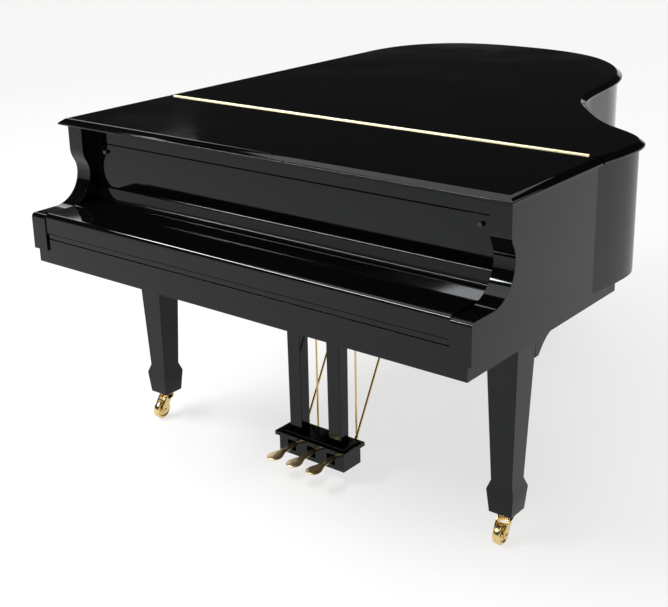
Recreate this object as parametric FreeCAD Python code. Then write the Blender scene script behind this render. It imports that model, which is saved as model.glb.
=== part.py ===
import FreeCAD, Part
import math
import os

from FreeCAD import Vector

# A grand piano with its lid and fallboard closed. While it is being modelled, X runs to the
# treble side, Y runs from the front of the arms to the tail and Z rises from the floor. At the
# end the whole piano is moved so that the middle of its footprint is the origin. Millimetres.

# Driving dimensions
case_width = 1480.0
case_length = 2012.0
rim_top = 975.0
rim_depth = 333.0
lid_rest_gap = 2.0
overrun = 5.0
seat_gap = 0.3
running_gap = 0.06

# Bentside and tail, seen from above: shares of half the case width and of the case length
bentside_start_share = 0.280
bentside_shares = (
    (1.015, 0.348),
    (0.996, 0.398),
    (0.822, 0.451),
    (0.636, 0.521),
    (0.504, 0.590),
    (0.439, 0.686),
    (0.386, 0.793),
    (0.240, 0.895),
    (0.004, 0.969),
    (-0.422, 1.000),
    (-0.757, 0.977),
    (-0.942, 0.908),
    (-0.988, 0.857),
)
bentside_end_share = 0.790
outline_steps = 240

# Rim and arms
rim_wall = 45.0
inner_rim_wall = 40.0
ledge_drop = 143.0
arm_thickness = 57.0
arm_setback = 158.0
arm_straight_drop = 70.0
arm_scoop_depth = 178.0
arm_scoop_drop = 137.0
arm_scoop_radius = 92.0
cheek_round = 12.0

# Keybed
keybed_drop = 372.0
keybed_inset = 13.0
keybed_setback = 6.0
keybed_depth = 715.0
keybed_front_drop = 299.0

# Beams under the soundboard
action_bay_end = 470.0
belly_rail_depth = 50.0
beam_width = 70.0
beam_height = 110.0
beam_foot_shares = (-0.62, -0.20, 0.24)
beam_tail_shares = (-0.70, -0.38, -0.02)

# Soundboard, ribs and bridges
soundboard_thickness = 8.0
soundboard_clearance = 2.0
rib_width = 24.0
rib_height = 18.0
rib_shares = (0.36, 0.48, 0.60, 0.72, 0.84)
bridge_width = 32.0
bridge_clearance = 2.0
long_bridge_shares = ((0.82, 0.355), (0.10, 0.50), (-0.46, 0.815))
bass_bridge_shares = ((-0.60, 0.865), (-0.34, 0.905), (-0.02, 0.890))

# Cast-iron plate
plate_drop = 123.0
plate_thickness = 12.0
plate_clearance = 6.0
plate_border = 62.0
plate_strut_width = 34.0
plate_strut_shares = (-0.55, -0.30, -0.05, 0.20, 0.45, 0.70)
plate_foot_radius = 14.0
pin_block_front = 215.0
pin_block_end = 400.0
pin_block_height = 40.0

# Strings and tuning pins
string_thickness = 1.6
string_drop = 99.0
bass_string_rise = 26.0
note_count = 88
bass_note_count = 20
string_spread_share = 0.87
string_front = 290.0
bass_slant_share = 0.42
string_end_inset = 92.0
tenor_end_share = 0.835
pin_side = 6.0
pin_rise = 18.0
pin_row_step = 22.0
pin_row_count = 4

# Stretcher, name board and bumpers
stretcher_face = 205.0
stretcher_drop = 54.0
stretcher_thickness = 10.0
fascia_bottom_drop = 234.0
fascia_top_drop = 180.0
fascia_proud = 4.0
edge_round = 3.0
bumper_radius = 6.0
bumper_side_inset = 49.0
bumper_drop = 77.0

# Key slip, cheek blocks and key frame
slip_bottom_drop = 296.0
slip_top_drop = 281.5
slip_setback = 6.0
slip_thickness = 18.0
cheek_block_width = 64.0
cheek_block_drop = 242.0
cheek_block_end = 160.0
key_frame_height = 10.0
key_rail_width = 60.0
frame_shift = 2.5

# Keys
white_count = 52
key_side_room = 5.4
key_gap = 1.0
white_drop = 257.0
white_height = 22.0
key_front = 26.0
key_end = 425.0
balance_line = 245.0
black_width = 10.5
black_front_set = 50.0
black_end = 165.0
black_height = 12.0
black_slope = 6.0
key_tail_drop = 8.0

# Action
hammer_line = 436.0
hammer_drop = 173.0
hammer_height = 32.0
hammer_width_share = 0.42
shank_length = 110.0
shank_side = 6.0
action_rail_side = 26.0
action_bracket_thickness = 8.0
action_bracket_shares = (-0.96, -0.34, 0.30, 0.96)

# Dampers
damper_count = 66
damper_length = 46.0
damper_width = 9.0
damper_height = 14.0
damper_line = 492.0

# Fallboard
fallboard_drop = 224.0
fallboard_thickness = 14.0
fallboard_front = 3.0
fallboard_lip_drop = 280.0
fallboard_lip_thickness = 15.0
fallboard_round = 13.0
fallboard_rear_gap = 3.0
fallboard_side_gap = 1.0
fallboard_pivot_back = 19.0
fallboard_pin_radius = 5.0
fallboard_pin_length = 12.0
fallboard_open_degrees = 92.0

# Lid
lid_thickness = 18.0
lid_overhang = 14.0
lid_front = 134.0
lid_bead = 8.0
lid_step = 4.0
lid_step_inset = 8.0
lid_top_inset = 17.0
flap_line = 564.0

# Flap hinge
flap_hinge_radius = 3.5
flap_hinge_rise = 0.3
flap_hinge_leaf = 0.8
flap_hinge_slot = 4.5
flap_hinge_end_inset = 22.0
flap_hinge_knuckles = 16
flap_hinge_gap = 0.5

# Lid hinges on the spine
lid_hinge_radius = 4.0
lid_hinge_length = 90.0
lid_hinge_pin_radius = 2.0
lid_hinge_leaf = 1.6
lid_hinge_leaf_width = 29.0
lid_hinge_leaf_height = 38.0
lid_hinge_shares = (0.34, 0.46, 0.74)

# Lid prop, lying along the treble side
prop_tip = 300.0
prop_side = 20.0
prop_drop = 25.0
prop_wall_gap = 3.0
prop_pivot_share = 0.3827
prop_pin_radius = 5.0
prop_cup_radius = 13.0

# Music desk
desk_drop = 52.0
desk_rail_width = 16.0
desk_rail_height = 18.0
desk_rail_start = 215.0
desk_tray_thickness = 12.0
desk_tray_depth = 300.0
desk_front_thickness = 16.0
desk_front_height = 44.0
desk_side_gap = 2.0
desk_panel_width = 960.0
desk_panel_height = 262.0
desk_panel_thickness = 12.0
desk_hinge_radius = 4.0
desk_hinge_length = 40.0
desk_ledge_depth = 30.0

# Legs and casters
leg_side_inset = 114.0
leg_line = 366.0
rear_leg_width_share = -0.354
rear_leg_length_share = 0.825
leg_top_width = 92.0
leg_ankle_width = 62.0
leg_ankle_height = 190.0
foot_width = 76.0
foot_height = 150.0
foot_base_width = 64.0
foot_bottom = 86.0
leg_plate_width = 130.0
leg_plate_thickness = 22.0
bracket_radius = 105.0
bracket_width = 60.0
wheel_radius = 29.0
wheel_width = 22.0
wheel_edge = 3.0
axle_radius = 5.0
fork_arm_thickness = 6.0
fork_arm_width = 22.0
fork_gap = 1.0
fork_plate_thickness = 8.0
fork_plate_radius = 26.0
caster_trail = 26.0
stem_radius = 7.0
stem_length = 45.0

# Lyre
lyre_post_spread = 71.5
lyre_post_width = 47.0
lyre_post_depth = 40.0
lyre_post_taper_share = 0.93
lyre_line = 372.0
lyre_head_width = 290.0
lyre_head_depth = 110.0
lyre_head_height = 30.0
lyre_plate_height = 12.0
lyre_plate_lip = 9.0
lyre_box_width = 238.0
lyre_box_depth = 78.0
lyre_box_bottom = 51.0
lyre_box_height = 44.0
pedal_pitch = 72.0
pedal_slot_width = 30.0
pedal_slot_bottom = 56.0
pedal_slot_height = 32.0
pedal_level = 70.0
pedal_thickness = 11.0
pedal_neck_width = 20.0
pedal_tip_width = 46.0
pedal_tip_reach = 98.0
pedal_shoulder_reach = 33.0
pedal_pivot_back = 64.0
pedal_tail_reach = 128.0
pedal_pin_radius = 4.0
pedal_rod_radius = 4.5
pedal_rod_back = 122.0
pedal_rod_guide = 27.0
brace_radius = 6.0
brace_spread = 92.0
brace_tail = 700.0
brace_foot_height = 92.0
brace_width_room = 40.0
pedal_rod_travel = 12.0

# Heights of the case's pieces, each a drop from the top of the rim
rim_bottom = rim_top - rim_depth
ledge_height = rim_top - ledge_drop
arm_straight_height = rim_top - arm_straight_drop
arm_scoop_height = rim_top - arm_scoop_drop
keybed_bottom = rim_top - keybed_drop
keybed_front_top = rim_top - keybed_front_drop
plate_level = rim_top - plate_drop
string_level = rim_top - string_drop
stretcher_top = rim_top - stretcher_drop
fascia_bottom = rim_top - fascia_bottom_drop
fascia_top = rim_top - fascia_top_drop
bumper_height = rim_top - bumper_drop
slip_bottom = rim_top - slip_bottom_drop
slip_top = rim_top - slip_top_drop
cheek_block_top = rim_top - cheek_block_drop
white_top = rim_top - white_drop
hammer_level = rim_top - hammer_drop
fallboard_top = rim_top - fallboard_drop
fallboard_lip_bottom = rim_top - fallboard_lip_drop
prop_level = rim_top - prop_drop
desk_level = rim_top - desk_drop

# Sizes that follow from the ones above
half_width = case_width / 2
arm_inside = half_width - arm_thickness
keyboard_half = arm_inside - cheek_block_width - key_side_room
white_pitch = 2 * keyboard_half / white_count
leg_spread = half_width - leg_side_inset
bumper_spread = arm_inside - bumper_side_inset
prop_pivot_line = prop_pivot_share * case_length
rear_leg_line = rear_leg_length_share * case_length
rear_leg_place = rear_leg_width_share * half_width
lid_bottom = rim_top + lid_rest_gap
lid_top = lid_bottom + lid_thickness
cheek_height = arm_scoop_height - arm_scoop_radius
scoop_center = arm_scoop_depth - arm_scoop_radius
plate_top = plate_level + plate_thickness
soundboard_top = ledge_height + soundboard_thickness
quarter = math.sqrt(0.5)
nodes = {}


def block(low, high):
    size = high - low
    return Part.makeBox(size.x, size.y, size.z, low)


def rod(start, end, radius):
    run = end - start
    return Part.makeCylinder(radius, run.Length, start, run)


def join(shapes):
    return shapes[0].fuse(list(shapes[1:])).removeSplitter()


def polygon(points):
    return Part.Face(Part.makePolygon(list(points) + [points[0]]))


def side_prism(outline, start, end):
    """A shape whose outline, given as (y, z) pairs, runs along X."""
    face = polygon([Vector(start, y, z) for y, z in outline])
    return face.extrude(Vector(end - start, 0, 0))


def plan_prism(outline, bottom, top):
    """A shape whose outline, given as (x, y) pairs, rises along Z."""
    face = polygon([Vector(x, y, bottom) for x, y in outline])
    return face.extrude(Vector(0, 0, top - bottom))


def bent_curve():
    """The bentside and tail, from the treble side round to the spine, at floor level."""
    points = [Vector(half_width, bentside_start_share * case_length, 0)]
    for across, along in bentside_shares:
        points.append(Vector(across * half_width, along * case_length, 0))
    points.append(Vector(-half_width, bentside_end_share * case_length, 0))
    curve = Part.BSplineCurve()
    curve.interpolate(Points=points)
    return curve, points


outline_curve, outline_points = bent_curve()


def inset_points(inset):
    """Points of the bent curve and between them, moved square to it into the case."""
    stops = [outline_curve.parameter(point) for point in outline_points]
    middles = [(low + high) / 2 for low, high in zip(stops, stops[1:])]
    moved = []
    for stop in sorted(stops + middles):
        along = outline_curve.tangent(stop)[0]
        moved.append(outline_curve.value(stop) + Vector(-along.y, along.x, 0) * inset)
    moved[0] = Vector(half_width - inset, outline_points[0].y, 0)
    moved[-1] = Vector(inset - half_width, outline_points[-1].y, 0)
    return moved


def inset_curve(inset):
    curve = Part.BSplineCurve()
    curve.interpolate(Points=inset_points(inset))
    return curve


def plan_slab(inset, front, bottom, top):
    """The case seen from above, drawn in by an inset and cut off straight at the front."""
    curve = inset_curve(inset)
    start = curve.value(curve.FirstParameter)
    end = curve.value(curve.LastParameter)
    front_right = Vector(start.x, front, 0)
    front_left = Vector(end.x, front, 0)
    edges = [
        Part.makeLine(front_left, front_right),
        Part.makeLine(front_right, start),
        curve.toShape(),
        Part.makeLine(end, front_left),
    ]
    slab = Part.Face(Part.Wire(edges)).extrude(Vector(0, 0, top - bottom))
    slab.translate(Vector(0, 0, bottom))
    return slab


def bent_reach(across, inset):
    """How far back the inset curve lies at a place across the case, on its bentside or tail."""
    curve = inset_curve(inset)
    walk = curve.discretize(Number=outline_steps)
    reach = 0
    for first, second in zip(walk, walk[1:]):
        if min(first.x, second.x) <= across <= max(first.x, second.x):
            part = (across - first.x) / (second.x - first.x)
            reach = max(reach, first.y + part * (second.y - first.y))
    return reach


# Rim with its arms

def arm_relief():
    """What is cut away in front of the arms: the scoop and the rounded cheek below it."""
    top = rim_top + overrun
    lower = arm_scoop_height
    upper = arm_straight_height
    lean = arm_scoop_depth - arm_setback
    reverse_radius = ((upper - lower) ** 2 + lean ** 2) / (4 * lean)
    turn = math.asin((upper - lower) / 2 / reverse_radius) / 2
    swell = reverse_radius * (1 - math.cos(turn))
    rise = reverse_radius * math.sin(turn)
    start = Vector(0, arm_setback, upper)
    middle = Vector(0, arm_setback + lean / 2, (upper + lower) / 2)
    deepest = Vector(0, arm_scoop_depth, lower)
    edges = [
        Part.makeLine(Vector(0, -overrun, top), Vector(0, arm_setback, top)),
        Part.makeLine(Vector(0, arm_setback, top), start),
        Part.Arc(start, Vector(0, arm_setback + swell, upper - rise), middle).toShape(),
        Part.Arc(middle, Vector(0, arm_scoop_depth - swell, lower + rise), deepest).toShape(),
        Part.Arc(
            deepest,
            Vector(0, scoop_center + arm_scoop_radius * quarter, lower - arm_scoop_radius * quarter),
            Vector(0, scoop_center, cheek_height),
        ).toShape(),
        Part.makeLine(Vector(0, scoop_center, cheek_height), Vector(0, cheek_round, cheek_height)),
        Part.Arc(
            Vector(0, cheek_round, cheek_height),
            Vector(0, cheek_round * (1 - quarter), cheek_height - cheek_round * (1 - quarter)),
            Vector(0, 0, cheek_height - cheek_round),
        ).toShape(),
        Part.makeLine(Vector(0, 0, cheek_height - cheek_round), Vector(0, -overrun, cheek_height - cheek_round)),
        Part.makeLine(Vector(0, -overrun, cheek_height - cheek_round), Vector(0, -overrun, top)),
    ]
    relief = Part.Face(Part.Wire(edges)).extrude(Vector(case_width + 2 * overrun, 0, 0))
    relief.translate(Vector(-half_width - overrun, 0, 0))
    return relief


fallboard_pivot = Vector(0, stretcher_face - fallboard_rear_gap - fallboard_pivot_back,
                         fallboard_top - fallboard_thickness / 2)


def fallboard_pins(radius, length):
    inner = arm_inside - fallboard_side_gap
    pins = []
    for side in (-1, 1):
        start = fallboard_pivot + Vector(side * inner, 0, 0)
        pins.append(rod(start, start + Vector(side * length, 0, 0), radius))
    return pins


rim = plan_slab(0, 0, rim_bottom, rim_top)
keyboard_bay = block(
    Vector(-arm_inside, -overrun, rim_bottom - overrun),
    Vector(arm_inside, action_bay_end, rim_top + overrun),
)
upper_hollow = plan_slab(rim_wall, action_bay_end - overrun, ledge_height, rim_top + overrun)
lower_hollow = plan_slab(
    rim_wall + inner_rim_wall, action_bay_end - overrun, rim_bottom - overrun, ledge_height + overrun
)
pin_holes = fallboard_pins(fallboard_pin_radius + running_gap, fallboard_pin_length + fallboard_side_gap)
rim = rim.cut([keyboard_bay, upper_hollow, lower_hollow, arm_relief()] + pin_holes)
nodes["rim"] = rim

# Keybed: a wide slab under the arms with a raised part between them

keybed_half = half_width - keybed_inset
keybed = block(
    Vector(-keybed_half, keybed_setback, keybed_bottom),
    Vector(keybed_half, keybed_setback + keybed_depth, rim_bottom),
)
keybed_raise = block(
    Vector(-arm_inside, keybed_setback, rim_bottom),
    Vector(arm_inside, action_bay_end, keybed_front_top),
)
keybed = join([keybed, keybed_raise])
pedal_rod_line = lyre_line - lyre_box_depth / 2 + pedal_rod_back
guide_top = keybed_bottom + pedal_rod_guide
for number in (-1, 0, 1):
    foot = Vector(number * pedal_pitch, pedal_rod_line, keybed_bottom - overrun)
    guide = rod(foot, Vector(foot.x, foot.y, guide_top + overrun), pedal_rod_radius + seat_gap)
    keybed = keybed.cut(guide)
nodes["keybed"] = keybed

# Belly rail and the beams that fan out from it to the tail

ledge_inside = rim_wall + inner_rim_wall
belly_half = half_width - ledge_inside
belly_end = action_bay_end + belly_rail_depth
belly_rail = block(
    Vector(-belly_half, action_bay_end, rim_bottom),
    Vector(belly_half, belly_end, ledge_height),
)
bracing = [belly_rail]
beam_space = plan_slab(ledge_inside, belly_end, rim_bottom, ledge_height)
for foot_share, tail_share in zip(beam_foot_shares, beam_tail_shares):
    foot = foot_share * half_width
    tail = tail_share * half_width
    reach = bent_reach(tail, rim_wall)
    beam = plan_prism(
        [
            (foot - beam_width / 2, belly_end),
            (foot + beam_width / 2, belly_end),
            (tail + beam_width / 2, reach),
            (tail - beam_width / 2, reach),
        ],
        rim_bottom,
        rim_bottom + beam_height,
    )
    bracing.append(beam.common(beam_space))
nodes["bracing"] = Part.makeCompound(bracing)

# Soundboard with its ribs, on the ledge of the rim and the belly rail

soundboard = plan_slab(
    rim_wall + soundboard_clearance, action_bay_end + soundboard_clearance, ledge_height, soundboard_top
)
ribs = []
inner_edge = plan_slab(
    ledge_inside + soundboard_clearance, belly_end + soundboard_clearance, ledge_height - rib_height, ledge_height
)
for share in rib_shares:
    along = share * case_length
    strip = block(
        Vector(-case_width, along - rib_width / 2, ledge_height - rib_height),
        Vector(case_width, along + rib_width / 2, ledge_height),
    )
    ribs.append(strip.common(inner_edge))
nodes["soundboard"] = join([soundboard] + ribs)

# Bridges: a long one that follows the bentside and a short one for the bass strings

def bridge(start, middle, end, height):
    path = Part.Arc(start, middle, end)
    low = path.toShape()
    along = path.tangent(path.FirstParameter)[0]
    across = Vector(-along.y, along.x, 0) * (bridge_width / 2)
    profile = Part.makePolygon([
        start - across,
        start + across,
        start + across + Vector(0, 0, height),
        start - across + Vector(0, 0, height),
        start - across,
    ])
    return Part.Wire([low]).makePipeShell([profile], True, False)


strut_places = [share * half_width for share in plate_strut_shares]
strut_ways = []
for place in strut_places:
    reach = plate_strut_width / 2 + bridge_clearance
    strut_ways.append(block(
        Vector(place - reach, belly_end, plate_level - bridge_clearance),
        Vector(place + reach, case_length, plate_top + bridge_clearance),
    ))
bridges = []
string_under = string_level - string_thickness / 2
for shares, level in (
    (long_bridge_shares, string_under),
    (bass_bridge_shares, string_under + bass_string_rise),
):
    height = level - soundboard_top
    stops = [Vector(across * half_width, along * case_length, soundboard_top) for across, along in shares]
    bridges.append(bridge(*stops, height).cut(strut_ways))
nodes["bridges"] = Part.makeCompound(bridges)

# Cast-iron plate: a border round the case, struts along the strings and a flange over the pin block

plate_front = pin_block_front
plate_outer = plan_slab(rim_wall + plate_clearance, action_bay_end, plate_level, plate_top)
plate_flange = block(
    Vector(-arm_inside + plate_clearance, plate_front, plate_level),
    Vector(arm_inside - plate_clearance, action_bay_end, plate_top),
)
window_start = action_bay_end + plate_border
plate_window = plan_slab(
    rim_wall + plate_clearance + plate_border, window_start, plate_level - overrun, plate_top + overrun
)
for place in strut_places:
    strut = block(
        Vector(place - plate_strut_width / 2, window_start - overrun, plate_level - overrun),
        Vector(place + plate_strut_width / 2, case_length, plate_top + overrun),
    )
    plate_window = plate_window.cut(strut)
hammer_slot = block(
    Vector(-belly_half, pin_block_end + plate_clearance, plate_level - overrun),
    Vector(belly_half, action_bay_end - plate_clearance, plate_top + overrun),
)
plate = plate_outer.fuse(plate_flange).removeSplitter().cut([plate_window, hammer_slot])
plate_feet = []
foot_drop = plate_level - soundboard_top
foot_inset = rim_wall + plate_clearance + plate_border / 2
foot_points = inset_points(foot_inset)
for point in foot_points[2:-2:3]:
    foot = Part.makeCylinder(plate_foot_radius, foot_drop, Vector(point.x, point.y, soundboard_top))
    plate_feet.append(foot)
nodes["plate"] = join([plate] + plate_feet)

# Pin block under the plate's flange, between the arms

nodes["pin_block"] = block(
    Vector(-arm_inside, pin_block_front, plate_level - pin_block_height),
    Vector(arm_inside, pin_block_end, plate_level),
)

# Strings and their square-headed tuning pins

string_half_spread = string_spread_share * arm_inside
note_step = 2 * string_half_spread / (note_count - 1)
strings = []
tuning_pins = []
for note in range(note_count):
    across = -string_half_spread + note * note_step
    front_line = string_front + pin_row_step * (note % pin_row_count - (pin_row_count - 1) / 2)
    level = string_level
    tail_across = across
    limit = tenor_end_share * case_length
    if note < bass_note_count:
        level = string_level + bass_string_rise
        tail_across = across + bass_slant_share * half_width
        limit = case_length
    reach = min(limit, bent_reach(tail_across, string_end_inset))
    half = string_thickness / 2
    wire = plan_prism(
        [
            (across - half, front_line),
            (across + half, front_line),
            (tail_across + half, reach),
            (tail_across - half, reach),
        ],
        level - half,
        level + half,
    )
    strings.append(wire)
    pin = block(
        Vector(across - pin_side / 2, front_line - pin_side, plate_top),
        Vector(across + pin_side / 2, front_line, level + pin_rise),
    )
    tuning_pins.append(pin)
nodes["strings"] = Part.makeCompound(strings)
nodes["tuning_pins"] = Part.makeCompound(tuning_pins)

# Stretcher, name board and the rubber bumpers that the open fallboard leans on

stretcher = block(
    Vector(-arm_inside, stretcher_face, fascia_top),
    Vector(arm_inside, stretcher_face + stretcher_thickness, stretcher_top),
)
nodes["stretcher"] = stretcher
name_board = block(
    Vector(-arm_inside, stretcher_face - fascia_proud, fascia_bottom),
    Vector(arm_inside, stretcher_face + stretcher_thickness, fascia_top),
)
long_front_edges = [
    edge for edge in name_board.Edges
    if edge.BoundBox.YMax < stretcher_face and edge.BoundBox.XLength > arm_inside
]
nodes["name_board"] = name_board.makeFillet(edge_round, long_front_edges)
lean = math.radians(fallboard_open_degrees - 90)
above_pivot = bumper_height - fallboard_pivot.z
open_face = fallboard_pivot.y + fallboard_thickness / 2 / math.cos(lean) + above_pivot * math.tan(lean)
bumpers = []
for side in (-1, 1):
    seat = Vector(side * bumper_spread, stretcher_face, bumper_height)
    tip = Vector(seat.x, open_face + seat_gap, seat.z)
    bumpers.append(rod(seat, tip, bumper_radius))
nodes["bumpers"] = Part.makeCompound(bumpers)

# Key slip and cheek blocks

slip = block(
    Vector(-arm_inside, slip_setback, slip_bottom),
    Vector(arm_inside, slip_setback + slip_thickness, slip_top),
)
slip_foot = block(
    Vector(-arm_inside, slip_setback + edge_round, keybed_front_top),
    Vector(arm_inside, slip_setback + slip_thickness, slip_bottom),
)
nodes["key_slip"] = join([slip, slip_foot])
cheek_start = slip_setback + slip_thickness
cheek_blocks = []
for side in (-1, 1):
    ends = sorted((side * arm_inside, side * (arm_inside - cheek_block_width)))
    cheek_blocks.append(block(
        Vector(ends[0], cheek_start, keybed_front_top),
        Vector(ends[1], cheek_block_end, cheek_block_top),
    ))
nodes["cheek_blocks"] = Part.makeCompound(cheek_blocks)

# Key frame: three rails across the keybed and two end rails

frame_half = arm_inside - cheek_block_width - 2 * frame_shift
frame_bottom = keybed_front_top
frame_top = frame_bottom + key_frame_height
bracket_line = key_end + key_gap + action_bracket_thickness
rail_lines = (key_front + key_rail_width, balance_line, bracket_line - key_rail_width / 2)
frame_pieces = []
for line in rail_lines:
    frame_pieces.append(block(
        Vector(-frame_half, line - key_rail_width / 2, frame_bottom),
        Vector(frame_half, line + key_rail_width / 2, frame_top),
    ))
for side in (-1, 1):
    ends = sorted((side * frame_half, side * (frame_half - key_rail_width)))
    frame_pieces.append(block(
        Vector(ends[0], rail_lines[0], frame_bottom),
        Vector(ends[1], rail_lines[2], frame_top),
    ))
key_bottom = white_top - white_height
balance_rise = key_bottom - frame_top - seat_gap
pivot_bead = Part.makeCylinder(
    balance_rise, 2 * frame_half, Vector(-frame_half, balance_line, frame_top), Vector(1, 0, 0)
)
frame_pieces.append(pivot_bead)
nodes["key_frame"] = join(frame_pieces)

# Keys, grouped by note name: all the C keys share a node, and so on

note_names = ("c", "c_sharp", "d", "d_sharp", "e", "f", "f_sharp", "g", "g_sharp", "a", "a_sharp", "b")
white_names = ("c", "d", "e", "f", "g", "a", "b")
sharp_right_of = {"c": "c_sharp", "d": "d_sharp", "f": "f_sharp", "g": "g_sharp", "a": "a_sharp"}
sharp_left_of = {"d": "c_sharp", "e": "d_sharp", "g": "f_sharp", "a": "g_sharp", "b": "a_sharp"}
sharp_lean_shares = {"c_sharp": -0.12, "d_sharp": 0.12, "f_sharp": -0.16, "g_sharp": 0.0, "a_sharp": 0.16}
first_white = white_names.index("a")
key_groups = {name: [] for name in note_names}
notch_line = key_front + black_front_set - key_gap


def sharp_center(edge, name):
    return edge + sharp_lean_shares[name] * white_pitch


def white_key(left, right, notch_left, notch_right):
    """A white key: full width in front, with notches for the black keys beside it."""
    outline = [
        (left, key_front),
        (right, key_front),
        (right, notch_line),
        (notch_right, notch_line),
        (notch_right, key_end),
        (notch_left, key_end),
        (notch_left, notch_line),
        (left, notch_line),
    ]
    clean = [point for index, point in enumerate(outline) if point != outline[index - 1]]
    return plan_prism(clean, key_bottom, white_top)


black_reach = black_width / 2 + key_gap
for white in range(white_count):
    name = white_names[(white + first_white) % len(white_names)]
    left_edge = -keyboard_half + white * white_pitch
    right_edge = left_edge + white_pitch
    left = left_edge + key_gap / 2
    right = right_edge - key_gap / 2
    notch_left = left
    notch_right = right
    if name in sharp_left_of and white > 0:
        notch_left = sharp_center(left_edge, sharp_left_of[name]) + black_reach
    if name in sharp_right_of and white < white_count - 1:
        sharp = sharp_right_of[name]
        center = sharp_center(right_edge, sharp)
        notch_right = center - black_reach
        stick = block(
            Vector(center - black_width / 2, notch_line + key_gap, key_bottom),
            Vector(center + black_width / 2, key_end, white_top),
        )
        cap_front = notch_line + key_gap
        cap = side_prism(
            [
                (cap_front, white_top),
                (black_end, white_top),
                (black_end, white_top + black_height),
                (cap_front + black_slope, white_top + black_height),
            ],
            center - black_width / 2,
            center + black_width / 2,
        )
        key_groups[sharp].append(join([stick, cap]))
    key_groups[name].append(white_key(left, right, notch_left, notch_right))
for name in note_names:
    nodes["keys_" + name] = Part.makeCompound(key_groups[name])

# Action: a rail on brackets over the keys, with a hammer for each note

rail_line = hammer_line - shank_length
action = [block(
    Vector(-frame_half, rail_line - action_rail_side / 2, hammer_level - action_rail_side),
    Vector(frame_half, rail_line + action_rail_side / 2, hammer_level),
)]
hammer_width = hammer_width_share * note_step
for note in range(note_count):
    across = -string_half_spread + note * note_step
    shank = block(
        Vector(across - shank_side / 2, rail_line, hammer_level - shank_side),
        Vector(across + shank_side / 2, hammer_line, hammer_level),
    )
    head = side_prism(
        [
            (hammer_line - shank_side, hammer_level - shank_side),
            (hammer_line + shank_side, hammer_level - shank_side),
            (hammer_line + 2 * shank_side, hammer_level + hammer_height / 2),
            (hammer_line, hammer_level + hammer_height),
            (hammer_line - 2 * shank_side, hammer_level + hammer_height / 2),
        ],
        across - hammer_width / 2,
        across + hammer_width / 2,
    )
    action.append(shank)
    action.append(head)
for share in action_bracket_shares:
    across = share * frame_half
    half = action_bracket_thickness / 2
    action.append(side_prism(
        [
            (key_end + key_gap, frame_top),
            (bracket_line, frame_top),
            (bracket_line, white_top + key_tail_drop + action_bracket_thickness),
            (rail_line + action_rail_side / 2, hammer_level - action_rail_side / 2),
            (rail_line - action_rail_side / 2, hammer_level - action_rail_side),
            (key_end + key_gap, white_top + key_tail_drop),
        ],
        across - half,
        across + half,
    ))
nodes["action"] = join(action)

# Dampers that lie on the strings, all lifted together

dampers = []
for note in range(damper_count):
    across = -string_half_spread + note * note_step
    bottom = string_level + string_thickness / 2 + seat_gap
    if note < bass_note_count:
        bottom = bottom + bass_string_rise
        tail = across + bass_slant_share * half_width
        reach = bent_reach(tail, string_end_inset)
        across = across + (tail - across) * (damper_line - string_front) / (reach - string_front)
    felt = block(
        Vector(across - damper_width / 2, damper_line - damper_length / 2, bottom),
        Vector(across + damper_width / 2, damper_line + damper_length / 2, bottom + damper_height),
    )
    dampers.append(felt)
nodes["dampers"] = Part.makeCompound(dampers)

# Fallboard: a board with a rounded lip in front and a pivot pin at each end

fallboard_half = arm_inside - fallboard_side_gap
fallboard_rear = stretcher_face - fascia_proud - fallboard_rear_gap
board_bottom = fallboard_top - fallboard_thickness
lip_back = fallboard_front + fallboard_lip_thickness
fallboard_edges = [
    Part.makeLine(Vector(0, fallboard_rear, board_bottom), Vector(0, fallboard_rear, fallboard_top)),
    Part.makeLine(
        Vector(0, fallboard_rear, fallboard_top), Vector(0, fallboard_front + fallboard_round, fallboard_top)
    ),
    Part.Arc(
        Vector(0, fallboard_front + fallboard_round, fallboard_top),
        Vector(
            0,
            fallboard_front + fallboard_round * (1 - quarter),
            fallboard_top - fallboard_round * (1 - quarter),
        ),
        Vector(0, fallboard_front, fallboard_top - fallboard_round),
    ).toShape(),
    Part.makeLine(
        Vector(0, fallboard_front, fallboard_top - fallboard_round), Vector(0, fallboard_front, fallboard_lip_bottom)
    ),
    Part.makeLine(Vector(0, fallboard_front, fallboard_lip_bottom), Vector(0, lip_back, fallboard_lip_bottom)),
    Part.makeLine(Vector(0, lip_back, fallboard_lip_bottom), Vector(0, lip_back, board_bottom)),
    Part.makeLine(Vector(0, lip_back, board_bottom), Vector(0, fallboard_rear, board_bottom)),
]
fallboard = Part.Face(Part.Wire(fallboard_edges)).extrude(Vector(2 * fallboard_half, 0, 0))
fallboard.translate(Vector(-fallboard_half, 0, 0))
nodes["fallboard"] = join([fallboard] + fallboard_pins(fallboard_pin_radius, fallboard_pin_length))

# Lid: a main board and a front flap, both with a beaded and stepped edge

flap_end = flap_line - flap_hinge_slot
main_start = flap_line + flap_hinge_slot


def lid_board():
    """The whole lid before it is parted: a bead, a step and the flat top, each drawn in further."""
    bead_top = lid_bottom + lid_bead
    step_top = bead_top + lid_step
    layers = (
        (0, lid_bottom, bead_top),
        (lid_step_inset, bead_top, step_top),
        (lid_top_inset, step_top, lid_top),
    )
    boards = []
    for inset, bottom, top in layers:
        boards.append(plan_slab(inset - lid_overhang, lid_front + inset, bottom, top))
    return join(boards)


whole_lid = lid_board()
lid_reach = case_width
flap_space = block(
    Vector(-lid_reach, -overrun, lid_bottom - overrun),
    Vector(lid_reach, flap_end, lid_top + overrun),
)
main_space = block(
    Vector(-lid_reach, main_start, lid_bottom - overrun),
    Vector(lid_reach, case_length + lid_reach, lid_top + overrun),
)
nodes["lid_flap"] = whole_lid.common(flap_space)
nodes["lid_main"] = whole_lid.common(main_space)

# Flap hinge: a long brass hinge whose knuckles belong in turn to the main lid and to the flap

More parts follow.
